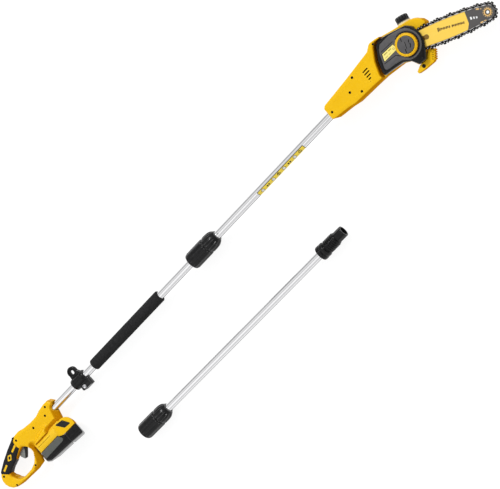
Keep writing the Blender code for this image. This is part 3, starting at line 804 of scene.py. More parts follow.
def nut_shape():
    outer = [(0, 23.8), (0.5, 24.8), (1.6, 25.5), (3.2, 25.8), (4.2, 25.8), (5.2, 25.8), (7, 25.8)]
    outer += [(x, 25.8) for x in (20, 35, 50, 62)] + [(65.5, 25.8), (67.3, 25.8), (68.6, 25.5)]
    outer += [(69.5, 24.9), (70, 23.4)]
    height = {4: 0.25, 5: 0.9, 6: 1.2, 7: 1.2, 8: 1.2, 9: 1.2, 10: 1.2, 11: 1.2, 12: 0.9, 13: 0.3}
    inner = [(78.4, 23.4), (78.4, 19.6), (74.4, 19.6), (74.4, 21.2), (29, 21.2), (29, 23.1)]
    profile = outer + inner + [(0.7, 23.1), (0, 23.4)]
    ribs = lambda station, angle: height.get(station, 0) * rib_wave(angle)
    return turned(profile, RIBS * 16, ribs, hollow=True)


def cap_shape():
    outer = [(70.3, 24.0), (70.8, 24.7), (71.8, 25.0), (73.0, 25.0), (75, 25.0), (82.3, 25.0)]
    outer += [(90, 24.7), (96.3, 24.1), (101.5, 22.9), (105.6, 21.2), (108.8, 19.2), (111.4, 17.6)]
    outer += [(113.6, 16.5), (115.0, 15.7), (115.3, 15.0), (115.3, 13.0), (114.6, 12.3)]
    height = {3: 0.7, 4: 1.5, 5: 1.6, 6: 1.6, 7: 1.6, 8: 1.6, 9: 1.5, 10: 1.0, 11: 0.4}
    inner = [(103.6, 12.3), (103.6, 19.6), (81.3, 19.6), (81.3, 23.8), (70.3, 23.8)]
    ribs = lambda station, angle: height.get(station, 0) * rib_wave(angle)
    return turned(outer + inner, RIBS * 16, ribs, hollow=True)


def coupler_shape():
    """Stepped flange, a real helical thread and a fluted plug with a recessed end."""
    bore, spigot = 3.4, 10.5
    profile = [(-30, spigot - 0.6), (-29, spigot), (9.7, spigot), (9.7, 12.3), (0, 12.3)]
    profile += [(0, 20.8), (0.6, 21.9), (2, 22.6), (3.5, 22.8), (10, 22.8), (11.6, 22.5), (12.4, 21.3)]
    notched = range(len(profile) - 5, len(profile) - 1)
    profile += [(13.2, 21.2), (14, 22.1), (15.2, 22.5), (21.5, 22.5), (23.6, 22.0), (24.6, 20.6), (25, 18.9)]
    thread_start = len(profile)
    first, last, pitch = 26.0, 66.4, 6.1
    stops = np.arange(first, last, 0.55)
    profile += [(float(h), 18.7) for h in stops]
    thread_stop = len(profile)
    profile += [(67.2, 18.4), (68, 16.3)]
    flute_start = len(profile)
    profile += [(69.5, 16.1), (72, 16.1), (80, 16.1), (90, 16.1), (93, 16.1)]
    flute_stop = len(profile)
    profile += [(94.6, 16.9), (96, 16.8), (96.8, 16.2), (97, 15.2), (97, 12.9), (96.5, 12.2)]
    profile += [(85.4, 12.0), (85, 11.5), (85, bore), (-30, bore)]

    def gain(station, angle):
        if station in notched:
            return -1.3 * float(ramp(math.cos(6 * angle), 0.8, 0.97))
        if thread_start <= station < thread_stop:
            height = profile[station][0]
            phase = (height - first) / pitch - angle / TAU
            crest = float(ramp(math.cos(TAU * phase), -0.55, 0.55))
            ends = float(ramp(height, first, first + 5) * (1 - ramp(height, last - 4, last)))
            return 2.1 * crest * ends - 0.1
        if flute_start <= station < flute_stop:
            return 0.85 * rib_wave(angle, 6, -0.2, 0.3)
        return 0

    return turned(profile, 120, gain, hollow=True)


def build_pole():
    lower = tube_shape(*LOWER_TUBE)
    piece("pole_lower", lower, aluminium, "handle", "aluminium", "lower_tube")
    upper = tube_shape(*UPPER_TUBE)
    round_pin(upper, 133, 4, 1)
    piece("pole_upper", upper, [aluminium, black_steel], "upper_section", "aluminium", "upper_tube")
    spare = tube_shape(*SPARE_TUBE, EXT_AXIS)
    piece("pole_spare", spare, aluminium, "extension", "aluminium", "extension_tube")
    label = [
        moulded("label_ground", (0.9, 0.68, 0.05), 0.42, (0.95, 0.8, 0.2), (0.8, 0.55, 0.03)),
        moulded("label_dark", (0.03, 0.02, 0.008), 0.45, (0.06, 0.05, 0.03), (0.01, 0.01, 0.01)),
        moulded("label_pale", (0.78, 0.77, 0.72), 0.45, (0.9, 0.9, 0.88), (0.6, 0.58, 0.5)),
    ]
    piece("pole_label", tube_label(305, 500, 8, 104), label, "upper_section", "yellow_plastic")


def build_foam():
    """The foam sleeve, with skin dimples and soft ends."""
    (start, end), radius = FOAM_ENDS, 18.45
    stops = [start, start + 0.5, start + 1.6, start + 3.4] + list(np.arange(start + 6, end - 5, 2.6))
    stops += [end - 3.4, end - 1.6, end - 0.5, end]
    gone = {0: 2.6, 1: 1.4, 2: 0.5, 3: 0.12}
    profile = []
    for i, x in enumerate(stops):
        profile.append((x, radius - gone.get(min(i, len(stops) - 1 - i), 0)))
    outer = len(profile)
    profile += [(end, 12.1), (start, 12.1)]

    def dimples(station, angle):
        if not 3 < station < outer - 4:
            return 0
        x = profile[station][0]
        here = Vector((x / 9, 2.2 * math.cos(angle), 2.2 * math.sin(angle)))
        fine = Vector((x / 3, 6 * math.cos(angle), 6 * math.sin(angle)))
        return -0.16 + 0.16 * noise.noise(here) + 0.1 * noise.noise(fine)

    shape = Shape().add(turned(profile, 96, dimples, hollow=True), 0, on_axis(0))
    sleeve = piece("foam_sleeve", shape, foam, "handle", "black_foam", "foam_grip")


def build_couplings():
    for prefix, x, axis, body, nut_body in (
        ("collar", COLLAR_X, (0.0, 0.0), "upper_section", "collar_nut"),
        ("spare", EXT_COLLAR_X, EXT_AXIS, "extension", "extension_nut"),
    ):
        cad = "collar" if prefix == "collar" else "extension"
        nut = Shape().add(nut_shape(), 0, on_axis(x, axis))
        piece(f"{prefix}_ribbed_nut", nut, ribbed_black, nut_body, "black_plastic", f"{cad}_nut")
        cap = Shape().add(cap_shape(), 0, on_axis(x, axis))
        piece(f"{prefix}_domed_cap", cap, ribbed_black, body, "black_plastic", f"{cad}_cap")
    for name, x, axis, body, node in (
        ("lower_thread", COUPLER_X, (0.0, 0.0), "handle", "lower_coupler"),
        ("spare_thread", EXT_PLUG_X, EXT_AXIS, "extension", "extension_coupler"),
    ):
        coupler = Shape().add(coupler_shape(), 0, on_axis(x, axis))
        piece(name, coupler, gloss_black, body, "black_plastic", node, crease=40)


def build_clamp():
    """Split ring with a D-shaped strap eyelet above and a screwed pair of lugs below."""
    centre = CLAMP_X
    band = [(-25.5, 17.6), (-24.9, 18.6), (-23.6, 19.1), (-19, 19.1), (-18, 19.5), (-15, 19.5)]
    band += [(-14, 18.8), (14, 18.8), (15, 19.5), (18, 19.5), (19, 19.1), (23.6, 19.1)]
    band += [(24.9, 18.6), (25.5, 17.6), (25.5, 12.6), (24.9, 12.2), (-24.9, 12.2), (-25.5, 12.6)]
    shape = Shape().add(turned(band, 72, hollow=True), 0, on_axis(centre))
    mid = (centre - 2, 34.0)
    brow = rounded([(centre - 21, 13)] + arc(mid, 16.8, 196, -16, 24) + [(centre + 25, 13)], 2)
    eye = [(-6.4, 25.5), (6.4, 25.5), (6.4, 40), (-6.4, 40)]
    hole = rounded([(mid[0] + x, y) for x, y in eye], 6.2, 2)
    hollowed = [(-11, 22), (11, 22), (11.5, 36), (6, 44.5), (-6, 44.5), (-11.5, 36)]
    dish = rounded([(mid[0] + x, y) for x, y in hollowed], 5, 2)
    rim = [(-5, 1.2), (-3.8, 0), (3.8, 0), (4.6, 0.4), (5, 1.2)]
    slab(shape, [brow, dish], rim)
    floor = [(-3, -0.6), (3, -0.6)]
    slab(shape, [dish, hole], floor)
    for side in (1, -1):
        lugs = rounded([(centre - 8, -34), (centre + 26, -34), (centre + 26, -13), (centre - 8, -13)], 3)
        levels = [(1.2, 0.4), (1.7, 0), (13.4, 0), (14.6, 0.5), (15, 1.6)]
        slab(shape, [lugs], [(side * height, gone) for height, gone in levels][::side])
    ring = piece("strap_ring", shape, gloss_black, "strap_clamp", "black_plastic", "clamp_ring")
    bolt_at = (centre + 6, -26)
    cut = post([(-30, 3.3), (30, 3.3)], 24, bolt_at)
    split = [(centre - 40, -50), (centre + 40, -50), (centre + 40, -10), (centre - 40, -10)]
    block(cut, [split], -1.1, 1.1)
    carve(ring, cut, own=True)
    head = [(-17, 2.4), (-16.6, 2.9), (15.1, 3), (15.1, 6.1), (15.5, 6.5), (17.6, 6.5)]
    head += [(18.9, 5.4), (19.5, 3.4), (19.5, 2.6), (17.2, 2.4)]
    piece("strap_ring_bolt", post(head, 36, bolt_at), steel, "strap_clamp", "steel", "clamp_screw")


# ---------------------------------------------------------------- handle and battery

MIRROR = Matrix.Scale(-1, 4, (0, 0, 1))
HANDLE = [(-662, -42.5, 1), (-654, -16), (-650, 0), (-646, 16, 4), (-656, 29, 5), (-676, 29.5), (-702, 26)]
HANDLE += [(-722, 20), (-752, 19.5), (-785, 23), (-808, 28.5), (-835, 27), (-880, 10.5), (-915, -4)]
HANDLE += [(-941, -17), (-954, -24), (-963, -33), (-968.5, -45), (-969, -58), (-964, -72), (-954.5, -83)]
HANDLE += [(-941, -90), (-920, -93.5), (-848, -96), (-813, -93, 4), (-806, -76, 8), (-803, -42.5, 1)]
OPENING = [(-830, -14), (-819, -25), (-813, -38), (-814, -50), (-823, -64), (-838, -76), (-860, -83)]
OPENING += [(-893, -84), (-912, -79), (-919, -71), (-926, -55), (-924, -44, 4), (-905, -36), (-871, -27)]
WRAP = [(-827, 26.4, 6), (-835.3, 27.2, 12), (-880.3, 11.3, 30), (-915.3, -3.2, 20), (-941.3, -16.2, 12)]
WRAP += [(-951, -21.5, 3), (-953, -28, 3), (-932, -46.5, 3), (-924, -45.3, 3), (-904.7, -36.9), (-880, -30.4)]
WRAP += [(-871, -25, 3), (-839, -12, 2), (-841, -3), (-842, 8), (-838, 19)]
LOCK_OFF = (-852, 0)
HANDLE_LOOPS = [rounded(HANDLE, 10, 6), rounded(OPENING, 9, 6)]
HANDLE_DOME = domed(HANDLE_LOOPS, 0.0, 6.0, 12.0)


def handle_face(points):
    """The side face: domed, swelling to the battery rail's width, bevelled by the tube and arm."""
    x, y = points[:, 0], points[:, 1]
    slant = -y + (x + 745) * 0.22
    swell = ramp(slant, 22, 34) * ramp(x, -800, -782) * (1 - ramp(x, -728, -708))
    front = distance(points, [(-700, -42.5), (-662, -42.5), (-654, -16), (-650, -4)], False)
    arm = distance(points, [(-798, -42), (-804, -76), (-812, -96), (-835, -104)], False)
    gone = np.maximum(13 * np.clip(1 - front / 17, 0, 1), 15 * np.clip(1 - arm / 20, 0, 1))
    gone = np.maximum(gone, -HANDLE_DOME(points) * (1 - swell))
    return 18.0 + 12.0 * swell - gone


def screw_pit(place, x, y, face, radius=3.1, deep=4.6):
    """Cutter for a screw's counterbore, with a small chamfer at the mouth."""
    profile = [(face - deep, radius), (face - 0.9, radius), (face + 0.3, radius + 1), (face + 4, radius + 1)]
    return post(profile, 24, (x, y), place)


def screw_head(shape, x, y, seat, radius=2.8):
    """A pan head with a star-shaped socket."""
    star = lambda station, angle: -0.35 * ramp(math.cos(6 * angle), -0.5, 0.5) if 4 < station < 8 else 0
    profile = [(seat, radius * 0.9), (seat + 0.4, radius), (seat + 1.3, radius), (seat + 1.9, radius * 0.8)]
    profile += [(seat + 2.0, radius * 0.62), (seat + 2.0, radius * 0.6), (seat + 1.9, radius * 0.58)]
    profile += [(seat + 0.9, radius * 0.52), (seat + 0.8, radius * 0.2)]
    return shape.add(turned(profile, 36, star), 0, standing(x, y))


GRIP_LEAN, FOOT_LEAN, PACK_LEAN, NOSE_LEAN = (12, 0.42), (26, 0.42), (35, 0.56), (31, 0.56)


def grip_fade(x, y):
    """1 in the grip, 0 in the arm, the foot of the handle and its front."""
    return ramp(x, -969, -915) * ramp(y, -66, -34) * (1 - ramp(x, -830, -785))


def pack_fade(x, y):
    return ramp(x, -806, -735)


def pack_ends(z):
    """How far the pack's -X end is drawn in at a height, so that it slopes down from both faces."""
    return float(np.interp(abs(z), (0, 3, 14, 29, 35.5, 38.5), (0, 3, 9, 19, 25, 29)))


def build_handle():
    """The grip's two halves.  The one named left is on +Z and stands for the CAD's left half, which
    is on -Z, and the one named right the other way round."""
    edge, hole = rounded(HANDLE, 10, 3.7), rounded(OPENING, 9, 3.7)
    screws = [(-673, 18.8), (-693, 0), (-753, 0), (-830, 12), (-836, -84), (-950, -38), (-934, -86)]
    sides = (("left", Matrix()), ("right", MIRROR))
    for name, place in sides:
        shape = Shape()
        levels = [(0.15, 0.4), (0.55, 0)] + shoulder(handle_face, 3)
        slab(shape, [edge, hole], levels, 0, place, 3.0)
        node = f"handle_shell_{name}"
        half = piece(f"handle_half_{name}", shape, [yellow, hollow], "handle", "yellow_plastic", node)
        mouth = [(-762, 12.45), (-668, 12.45), (-655, 14.2), (-638, 18.5)]
        carve(half, Shape().add(turned(mouth, 72), 0, on_axis(0)), yellow)
        lean(half, *GRIP_LEAN, grip_fade)
        finger = [(-818, 4), (-818, -30), (-840, -54), (-872, -56), (-884, -40), (-872, -6), (-856, 10)]
        slot = [(place @ Vector((0, 0, z))).z for z in (-1, 6.2)]
        carve(half, block(Shape(), [rounded(finger, 3)], min(slot), max(slot)), yellow)
        if name == "left":
            # screw pits lined with hollow: painted shade
            for x, y in screws:
                carve(half, screw_pit(place, x, y, 18), hollow)
        else:
            # the lock-off bore lined with hollow: painted shade
            bore = post([(-40, 6.6), (-1, 6.6)], 32, LOCK_OFF)
            bore.add(turned([(-13.2, 8.7), (-1.1, 8.7)], 32), 0, standing(*LOCK_OFF))
            carve(half, bore, hollow, own=True)
    heads = Shape()
    for x, y in screws:
        screw_head(heads, x, y, 13.5)
    piece("handle_screws", heads, black_steel, "handle", "steel", "handle_screw_1", "handle_screw_2")
    wrap = rounded(WRAP, 8, 4)
    for name, place in sides:
        shape = Shape()
        crown = lambda points: 19.1 + 0.7 * ramp(depth(points, wrap), 4, 12)
        slab(shape, [wrap], [(0.25, 0.5), (0.75, 0), (7, 0), (13, 0)] + shoulder(crown, 5), 0, place, 4)
        for a, b in (((-843, 4), (-868, -4)), ((-913, -20), (-936, -28)))[name == "right" :]:
            slab(shape, [strip(a, b, 6.6, 1.4)], [(18, 0), (19.7, 0), (20, 0.4)], 1, place)
        spark = rounded([(-874, -6), (-889, -2), (-903, -15), (-888, -20)], 2.4)
        core = rounded([(-882, -8.3), (-889, -6.6), (-895, -13.4), (-888, -15.4)], 0.8)
        slab(shape, [spark, core], [(18, 0), (19.7, 0), (20, 0.4)], 1, place)
        node = f"grip_pad_{name}"
        pad = piece(f"grip_wrap_{name}", shape, [rubber, yellow], "handle", "black_rubber", node)
        lean(pad, *GRIP_LEAN, grip_fade)
        if name == "right":
            carve(pad, post([(-40, 6.8), (2, 6.8)], 32, LOCK_OFF), rubber)
            carve(pad, post([(-13.2, 8.9), (2, 8.9)], 32, LOCK_OFF), rubber)
    lever = Shape()
    paddle = [(-837, -11), (-826, -22), (-840, -36), (-852, -46, 2), (-857, -45, 2), (-864, -31), (-858, -17)]
    paddle += [(-845, -3), (-836, 1), (-830, -5)]
    slab(lever, [rounded(paddle, 4, 3)], [(-5.2, 1), (-4.2, 0), (4.2, 0), (4.9, 0.3), (5.2, 1)])
    front = [(-834, -15), (-826.5, -21, 2), (-826.2, -23.5, 2), (-839.5, -36.6), (-851, -46.5, 2)]
    front += [(-855.5, -45.5, 2), (-845, -34), (-837, -24)]
    slab(lever, [rounded(front, 3, 3)], [(-5.5, 1.2), (-4.4, 0), (4.4, 0), (5.2, 0.4), (5.5, 1.2)], 1)
    piece("trigger_lever", lever, [trigger_grey, satin_black], "trigger", "grey_plastic", "trigger")
    button = [(-21.6, 2), (-21.4, 4.4), (-20.8, 5.5), (-19.8, 6), (-12.2, 6), (-12, 8), (-9.2, 8), (-9, 7.6)]
    knob = post(button, 48, LOCK_OFF)
    for k in range(-2, 3):
        x = LOCK_OFF[0] + k * 2
        slab(knob, [strip((x, -3.4), (x, 3.4), 0.9)], [(-21.6, 0.1), (-21, 0)])
    piece("lock_off_push", knob, satin_black, "lock_off_button", "black_plastic", "lock_off_button")


def extruded(shape, section, start, end, edge=1.0):
    """Adds a (y, z) section along the pole, with small chamfers at both ends."""
    levels = [(start, edge), (start + edge, 0), (end - edge, 0), (end, edge)]
    return slab(shape, [section], levels, 0, ALONG_X)


def build_battery():
    rail = [(-73, 30, 2), (-50, 30, 7), (-38, 17.5, 1), (-38, -17.5, 1), (-50, -30, 7), (-73, -30, 2)]
    groove = [(-73, -20.6), (-68, -20.6), (-68, -25.4), (-49, -25.4)]
    rail += [(y, z, 0) for y, z in groove] + [(y, -z, 0) for y, z in groove[::-1]]
    shape = extruded(Shape(), rounded(rail, 1, 6), -802.5, -669)
    foot = piece("battery_rail", shape, yellow, "handle", "yellow_plastic", "battery_foot")
    # grooves lined with hollow: painted shade
    for z in (29.2, -31):
        carve(foot, block(Shape(), [strip((-797, -55), (-719, -55), 0.9)], z, z + 1.8), hollow)
    lean(foot, *FOOT_LEAN, pack_fade, pack_ends)
    terminals = extruded(Shape(), [(-65, 9), (-65, -9), (-51, -9), (-51, 9)], -799.5, -794.2, 0.5)
    piece("battery_terminals", terminals, satin_black, "handle", "black_plastic", "terminal_block")
    case = Shape()
    tray = [(-806, -104, 6), (-790, -112, 8), (-676, -117.5, 3), (-672, -117.5, 1), (-672, -85, 1)]
    tray += [(-676, -85, 1), (-700, -73.4, 1), (-798, -73.4, 1), (-806, -82, 4)]
    tray = rounded(tray, 3, 5)
    levels = [(domed([tray], -38, -8, 22), 2.5), (-26, 1), (-14, 0.3), (8, 0)]
    slab(case, [tray], levels + shoulder(36.2, 6))
    head = [(-670.6, -118, 4), (-624, -121, 6), (-618, -118, 4), (-618, -85.2, 1), (-670.6, -85.2, 1)]
    head = rounded(head, 3, 4)
    levels = [(domed([head], -38, -8, 15), 2.5), (-26, 1), (-14, 0.3), (8, 0)]
    slab(case, [head], levels + shoulder(36.9, 4.5))
    block(case, [[(-673, -114), (-669, -114), (-669, -88), (-673, -88)]], -12, 34.6)
    shelf = [(-800, -103.5), (-789, -109), (-680, -114), (-680, -109.5), (-788, -104.5), (-798, -99.5)]
    upper = [(-663, -117), (-626, -119), (-624, -112), (-663, -110)]
    lower = [(-663, -104), (-626, -106), (-626, -91), (-663, -91)]
    for loop, corner, top, edge in ((shelf, 2, 37.4, 1.8), (upper, 2, 37.7, 1.2), (lower, 3, 37.3, 1.2)):
        slab(case, [rounded(loop, corner, 5)], [(35, 0)] + shoulder(top, edge))
    for low, high, half in ((-80, -67.7, 20.2), (-67.7, -51, 25)):
        section = [(low, half), (low, -half), (high, -half), (high, half)]
        extruded(case, section, -790, -669.5)
    shell = piece("battery_shell", case, gloss_black, "battery", "black_plastic", "battery_case")
    lean(shell, *PACK_LEAN, pack_fade, pack_ends)
    row = Shape()
    for x in (-766, -736, -706, -676, -646):
        cell = [(-32, 8.2), (-31.4, 9), (29.4, 9), (30, 8.2)]
        row.add(turned(cell, 32), 0, standing(x, -98 if x < -700 else -101.8))
    cells = piece("battery_cell_row", row, steel, "battery", "steel", "battery_cells")
    lean(cells, *PACK_LEAN, pack_fade, pack_ends)
    shade = [(-778, -98), (-691, -96, 3), (-685, -91, 3), (-695.5, -75.5, 3), (-778, -75.5)]
    panel = Shape()
    slab(panel, [rounded(shade, 2.5, 5)], [(35.5, 0), (36.9, 0)] + shoulder(38.2, 1))
    piece("battery_side_panel", panel, mid_grey, "battery", "grey_plastic", "battery_panel")
    nose = Shape()
    front = [(-667.3, -84.6), (-622, -84.6)] + arc((-652, -75), 31.6, 0, 90, 10) + [(-667.3, -43)]
    front = rounded(front, 0, 4)
    levels = [(domed([front], -34, -8, 18), 2.5), (-22, 1), (-10, 0.3), (8, 0), (18, 0), (30.4, 0)]
    slab(nose, [front], levels)
    lid = [(-699, -71.5, 2), (-695.5, -77, 3), (-676, -84.3, 3), (-622, -84.3, 1)]
    lid += arc((-652, -75), 31.6, 0, 90, 10) + [(-690, -43.6, 1)]
    slope = lambda points: 30.9 + 3.1 * ramp(points[:, 0], -699, -684)
    levels = [(30.25, 0.2), (30.4, 0), (lambda p: slope(p) - 0.3, 0.1), (slope, 0.5)]
    slab(nose, [rounded(lid, 0, 3)], levels, 0, None, 3)
    cap = piece("battery_front", nose, [yellow, hollow], "battery", "yellow_plastic", "battery_nose")
    window = [(-679, -45.5), (-648, -50.5), (-632, -74), (-658, -71.5)]
    # the window's recess lined with hollow: painted shade
    carve(cap, block(Shape(), [rounded(inset(wound(window), -0.5), 2, 4)], 24, 40), hollow, own=True)
    lean(cap, *NOSE_LEAN, pack_fade)
    push = Shape()
    slab(push, [rounded(window, 2, 4)], [(31.6, 0.4), (32, 0), (34.6, 0)] + shoulder(35.5, 0.8))
    for k in range(5):
        a = Vector((-667 + 5 * k, -51.5 - 2.6 * k))
        slab(push, [strip(a, a + Vector((6, -11)), 1.3)], [(35, 0), (35.9, 0.3)])
    piece("battery_release_push", push, satin_black, "battery_release", "black_plastic", "battery_release")


# ---------------------------------------------------------------- head, cover, bar and hook

HEAD = [(618, -16, 4), (626, -20, 4), (675, -27), (700, -33, 3), (771, -36), (803, -38), (861, -47)]
HEAD += [(882, -60, 6), (890, -80, 3), (912, -84, 4), (934, -68), (957, -50), (966, -30), (984, -12, 6)]
HEAD += [(980, 2), (968, 16), (953, 23), (901, 37), (854, 51, 12), (835, 54, 12), (816, 42)]
HEAD += [(723, 33), (628, 26, 6), (620, 20, 5)]
NECK_END = [(799.5, -38, 3), (799.5, -27), (815.5, 8), (839, 39), (849, 45.5, 3)]
NECK_END += [(868, 43.5, 2), (868, 47, 1)]
PLATE_END = [(869.5, 46.5, 1), (869.5, 40, 2), (851, 41.5, 3), (843.5, 36), (820.5, 6.5), (804.5, -27)]
COVER = [(807, -37, 4), (831, -41), (868, -48.5), (886, -62, 6), (896, -84, 4), (918, -86, 4), (924, -79)]
COVER += [(938, -64), (951, -46), (956, -23), (951, 3), (939, 18), (886, 36.5), (858, 43.5, 9)]
COVER += [(843.5, 36.5), (819.8, 4), (806.5, -27)]
DIAL = (910.0, -23.5)
LEAN = math.radians(-23.8)
BAR_FRAME = Matrix.Translation((*DIAL, 0)) @ Matrix.Rotation(LEAN, 4, "Z")


def neck_face(points):
    """Slightly crowned, with a shallow vent field."""
    rim = depth(points, rounded(HEAD[:5] + NECK_END + HEAD[-6:], 6, 6))
    x, y = points[:, 0], points[:, 1]
    field = ramp(x + 0.35 * y, 752, 755) * ramp(rim, 7, 10)
    return 27.0 + 1.0 * ramp(rim, 0, 12) - 0.5 * field


def build_head():
    rim = rounded(HEAD, 9, 5)
    lower = Shape()
    levels = [(domed([rim], -38, -11, 16), 1.2), (-25.5, 0.3), (-23, 0), (-0.6, 0), (-0.15, 0.4)]
    slab(lower, [rim], levels)
    looks = [yellow, hollow]
    under = piece("head_half_left", lower, looks, "upper_section", "yellow_plastic", "head_shell_left")
    # underside vents lined with hollow: painted shade
    for k in range(6):
        x = 742 + 9 * k
        carve(under, block(Shape(), [strip((x, -14 + k), (x + 7, 15 + k), 3.4)], -40, -32), hollow)
    # screw pits lined with hollow: painted shade
    for x, y in ((706, 4), (800, 0), (905, 0), (925, -30), (850, 20)):
        carve(under, screw_pit(MIRROR, x, y, 38), hollow)
    upper = Shape()
    neck = rounded(HEAD[:5] + NECK_END + HEAD[-6:], 8, 4)
    slab(upper, [neck], [(0.15, 0.4), (0.6, 0), (4, 0)] + shoulder(neck_face, 3.6), 0, None, 3)
    top = piece("head_half_right", upper, looks, "upper_section", "yellow_plastic", "head_shell_right")
    screws = [(739, 23.5), (706, -0.5), (732.5, -22), (632, -2), (843.5, 44.5)]
    # screw pits lined with hollow: painted shade
    for x, y in screws:
        carve(top, screw_pit(Matrix(), x, y, 28, 3.0, 5.4), hollow)
    vents = [(778.5, 11, 9.5), (777.5, 3, 9.5), (776, -5.5, 8), (773, -13.5, 5), (769.5, -21, 0.6)]
    # vent slots lined with hollow: painted shade
    for x, y, half in vents:
        carve(top, block(Shape(), [strip((x - half, y), (x + half, y), 3.6)], 20, 31), hollow)
    mouth = [(610, 17), (622, 13.6), (626, 12.45), (704, 12.45)]
    for half in (under, top):
        carve(half, Shape().add(turned(mouth, 72), 0, on_axis(0)), yellow)
    heads = Shape()
    for x, y in screws:
        screw_head(heads, x, y, 22.6, 2.7)
    piece("head_screws", heads, black_steel, "upper_section", "steel", "head_screw_1", "head_screw_2")
    rail = Shape()
    loop = rounded([(804.5, -38.5, 2)] + HEAD[6:-6] + PLATE_END, 9, 4)
    slab(rail, [loop], [(0.15, 0.4), (0.5, 0), (2.6, 0)] + shoulder(6, 3.2))
    piece("bar_rail", rail, yellow, "upper_section", "yellow_plastic", "drive_plate")
    build_oil_cap()


def build_oil_cap():
    axis = Vector((14, 52, 0)).normalized()
    place = Matrix.Translation((935, 32.0, -15)) @ axis.to_track_quat("Z", "Y").to_matrix().to_4x4()
    profile = [(0.4, 17.6), (0.5, 18.4), (1.2, 18.8), (2.6, 18.8), (3, 18.2), (4.2, 17.9), (5.2, 17)]
    profile += [(8, 17), (12, 17), (15, 17), (16.8, 16.8), (18, 16.2), (18.8, 14.8), (19, 12.4)]
    profile += [(18.4, 11.6), (18.2, 9)]
    height = {5: 0.3, 6: 1.2, 7: 1.5, 8: 1.5, 9: 1.5, 10: 1.3, 11: 0.6}
    ribs = lambda station, angle: height.get(station, 0) * rib_wave(angle, 14, -0.3, 0.3)
    cap = Shape().add(turned(profile, 196, ribs), 0, place)
    tab = rounded([(-9.5, -2), (9.5, -2), (9.5, 2), (-9.5, 2)], 1.5, 3)
    slab(cap, [tab], [(17, 0), (18.6, 0), (19, 0.4)], 0, place)
    piece("oil_filler_cap", cap, ribbed_black, "oil_cap", "black_plastic", "oil_cap")
    rim = [(-11, 17), (-1.6, 19.2), (0.1, 19.2), (0.3, 18.7), (0.3, 8), (-11, 8)]
    seat = Shape().add(turned(rim, 64, hollow=True), 0, place)
    piece("oil_filler_seat", seat, label_yellow, "upper_section", "yellow_plastic")


FACE = [(838, 12), (845, 22, 8), (856, 30.5, 8), (872, 30.5), (890, 29.5), (907, 25), (925, 19), (937, 12)]
FACE += [(944.5, 0), (948, -16), (947, -33), (941.5, -47), (932, -56), (920, -63), (903, -65), (889, -59)]
FACE += [(871, -43), (851, -37.5), (832, -34.5), (822, -31.5, 4), (820.5, -25), (829, -7)]


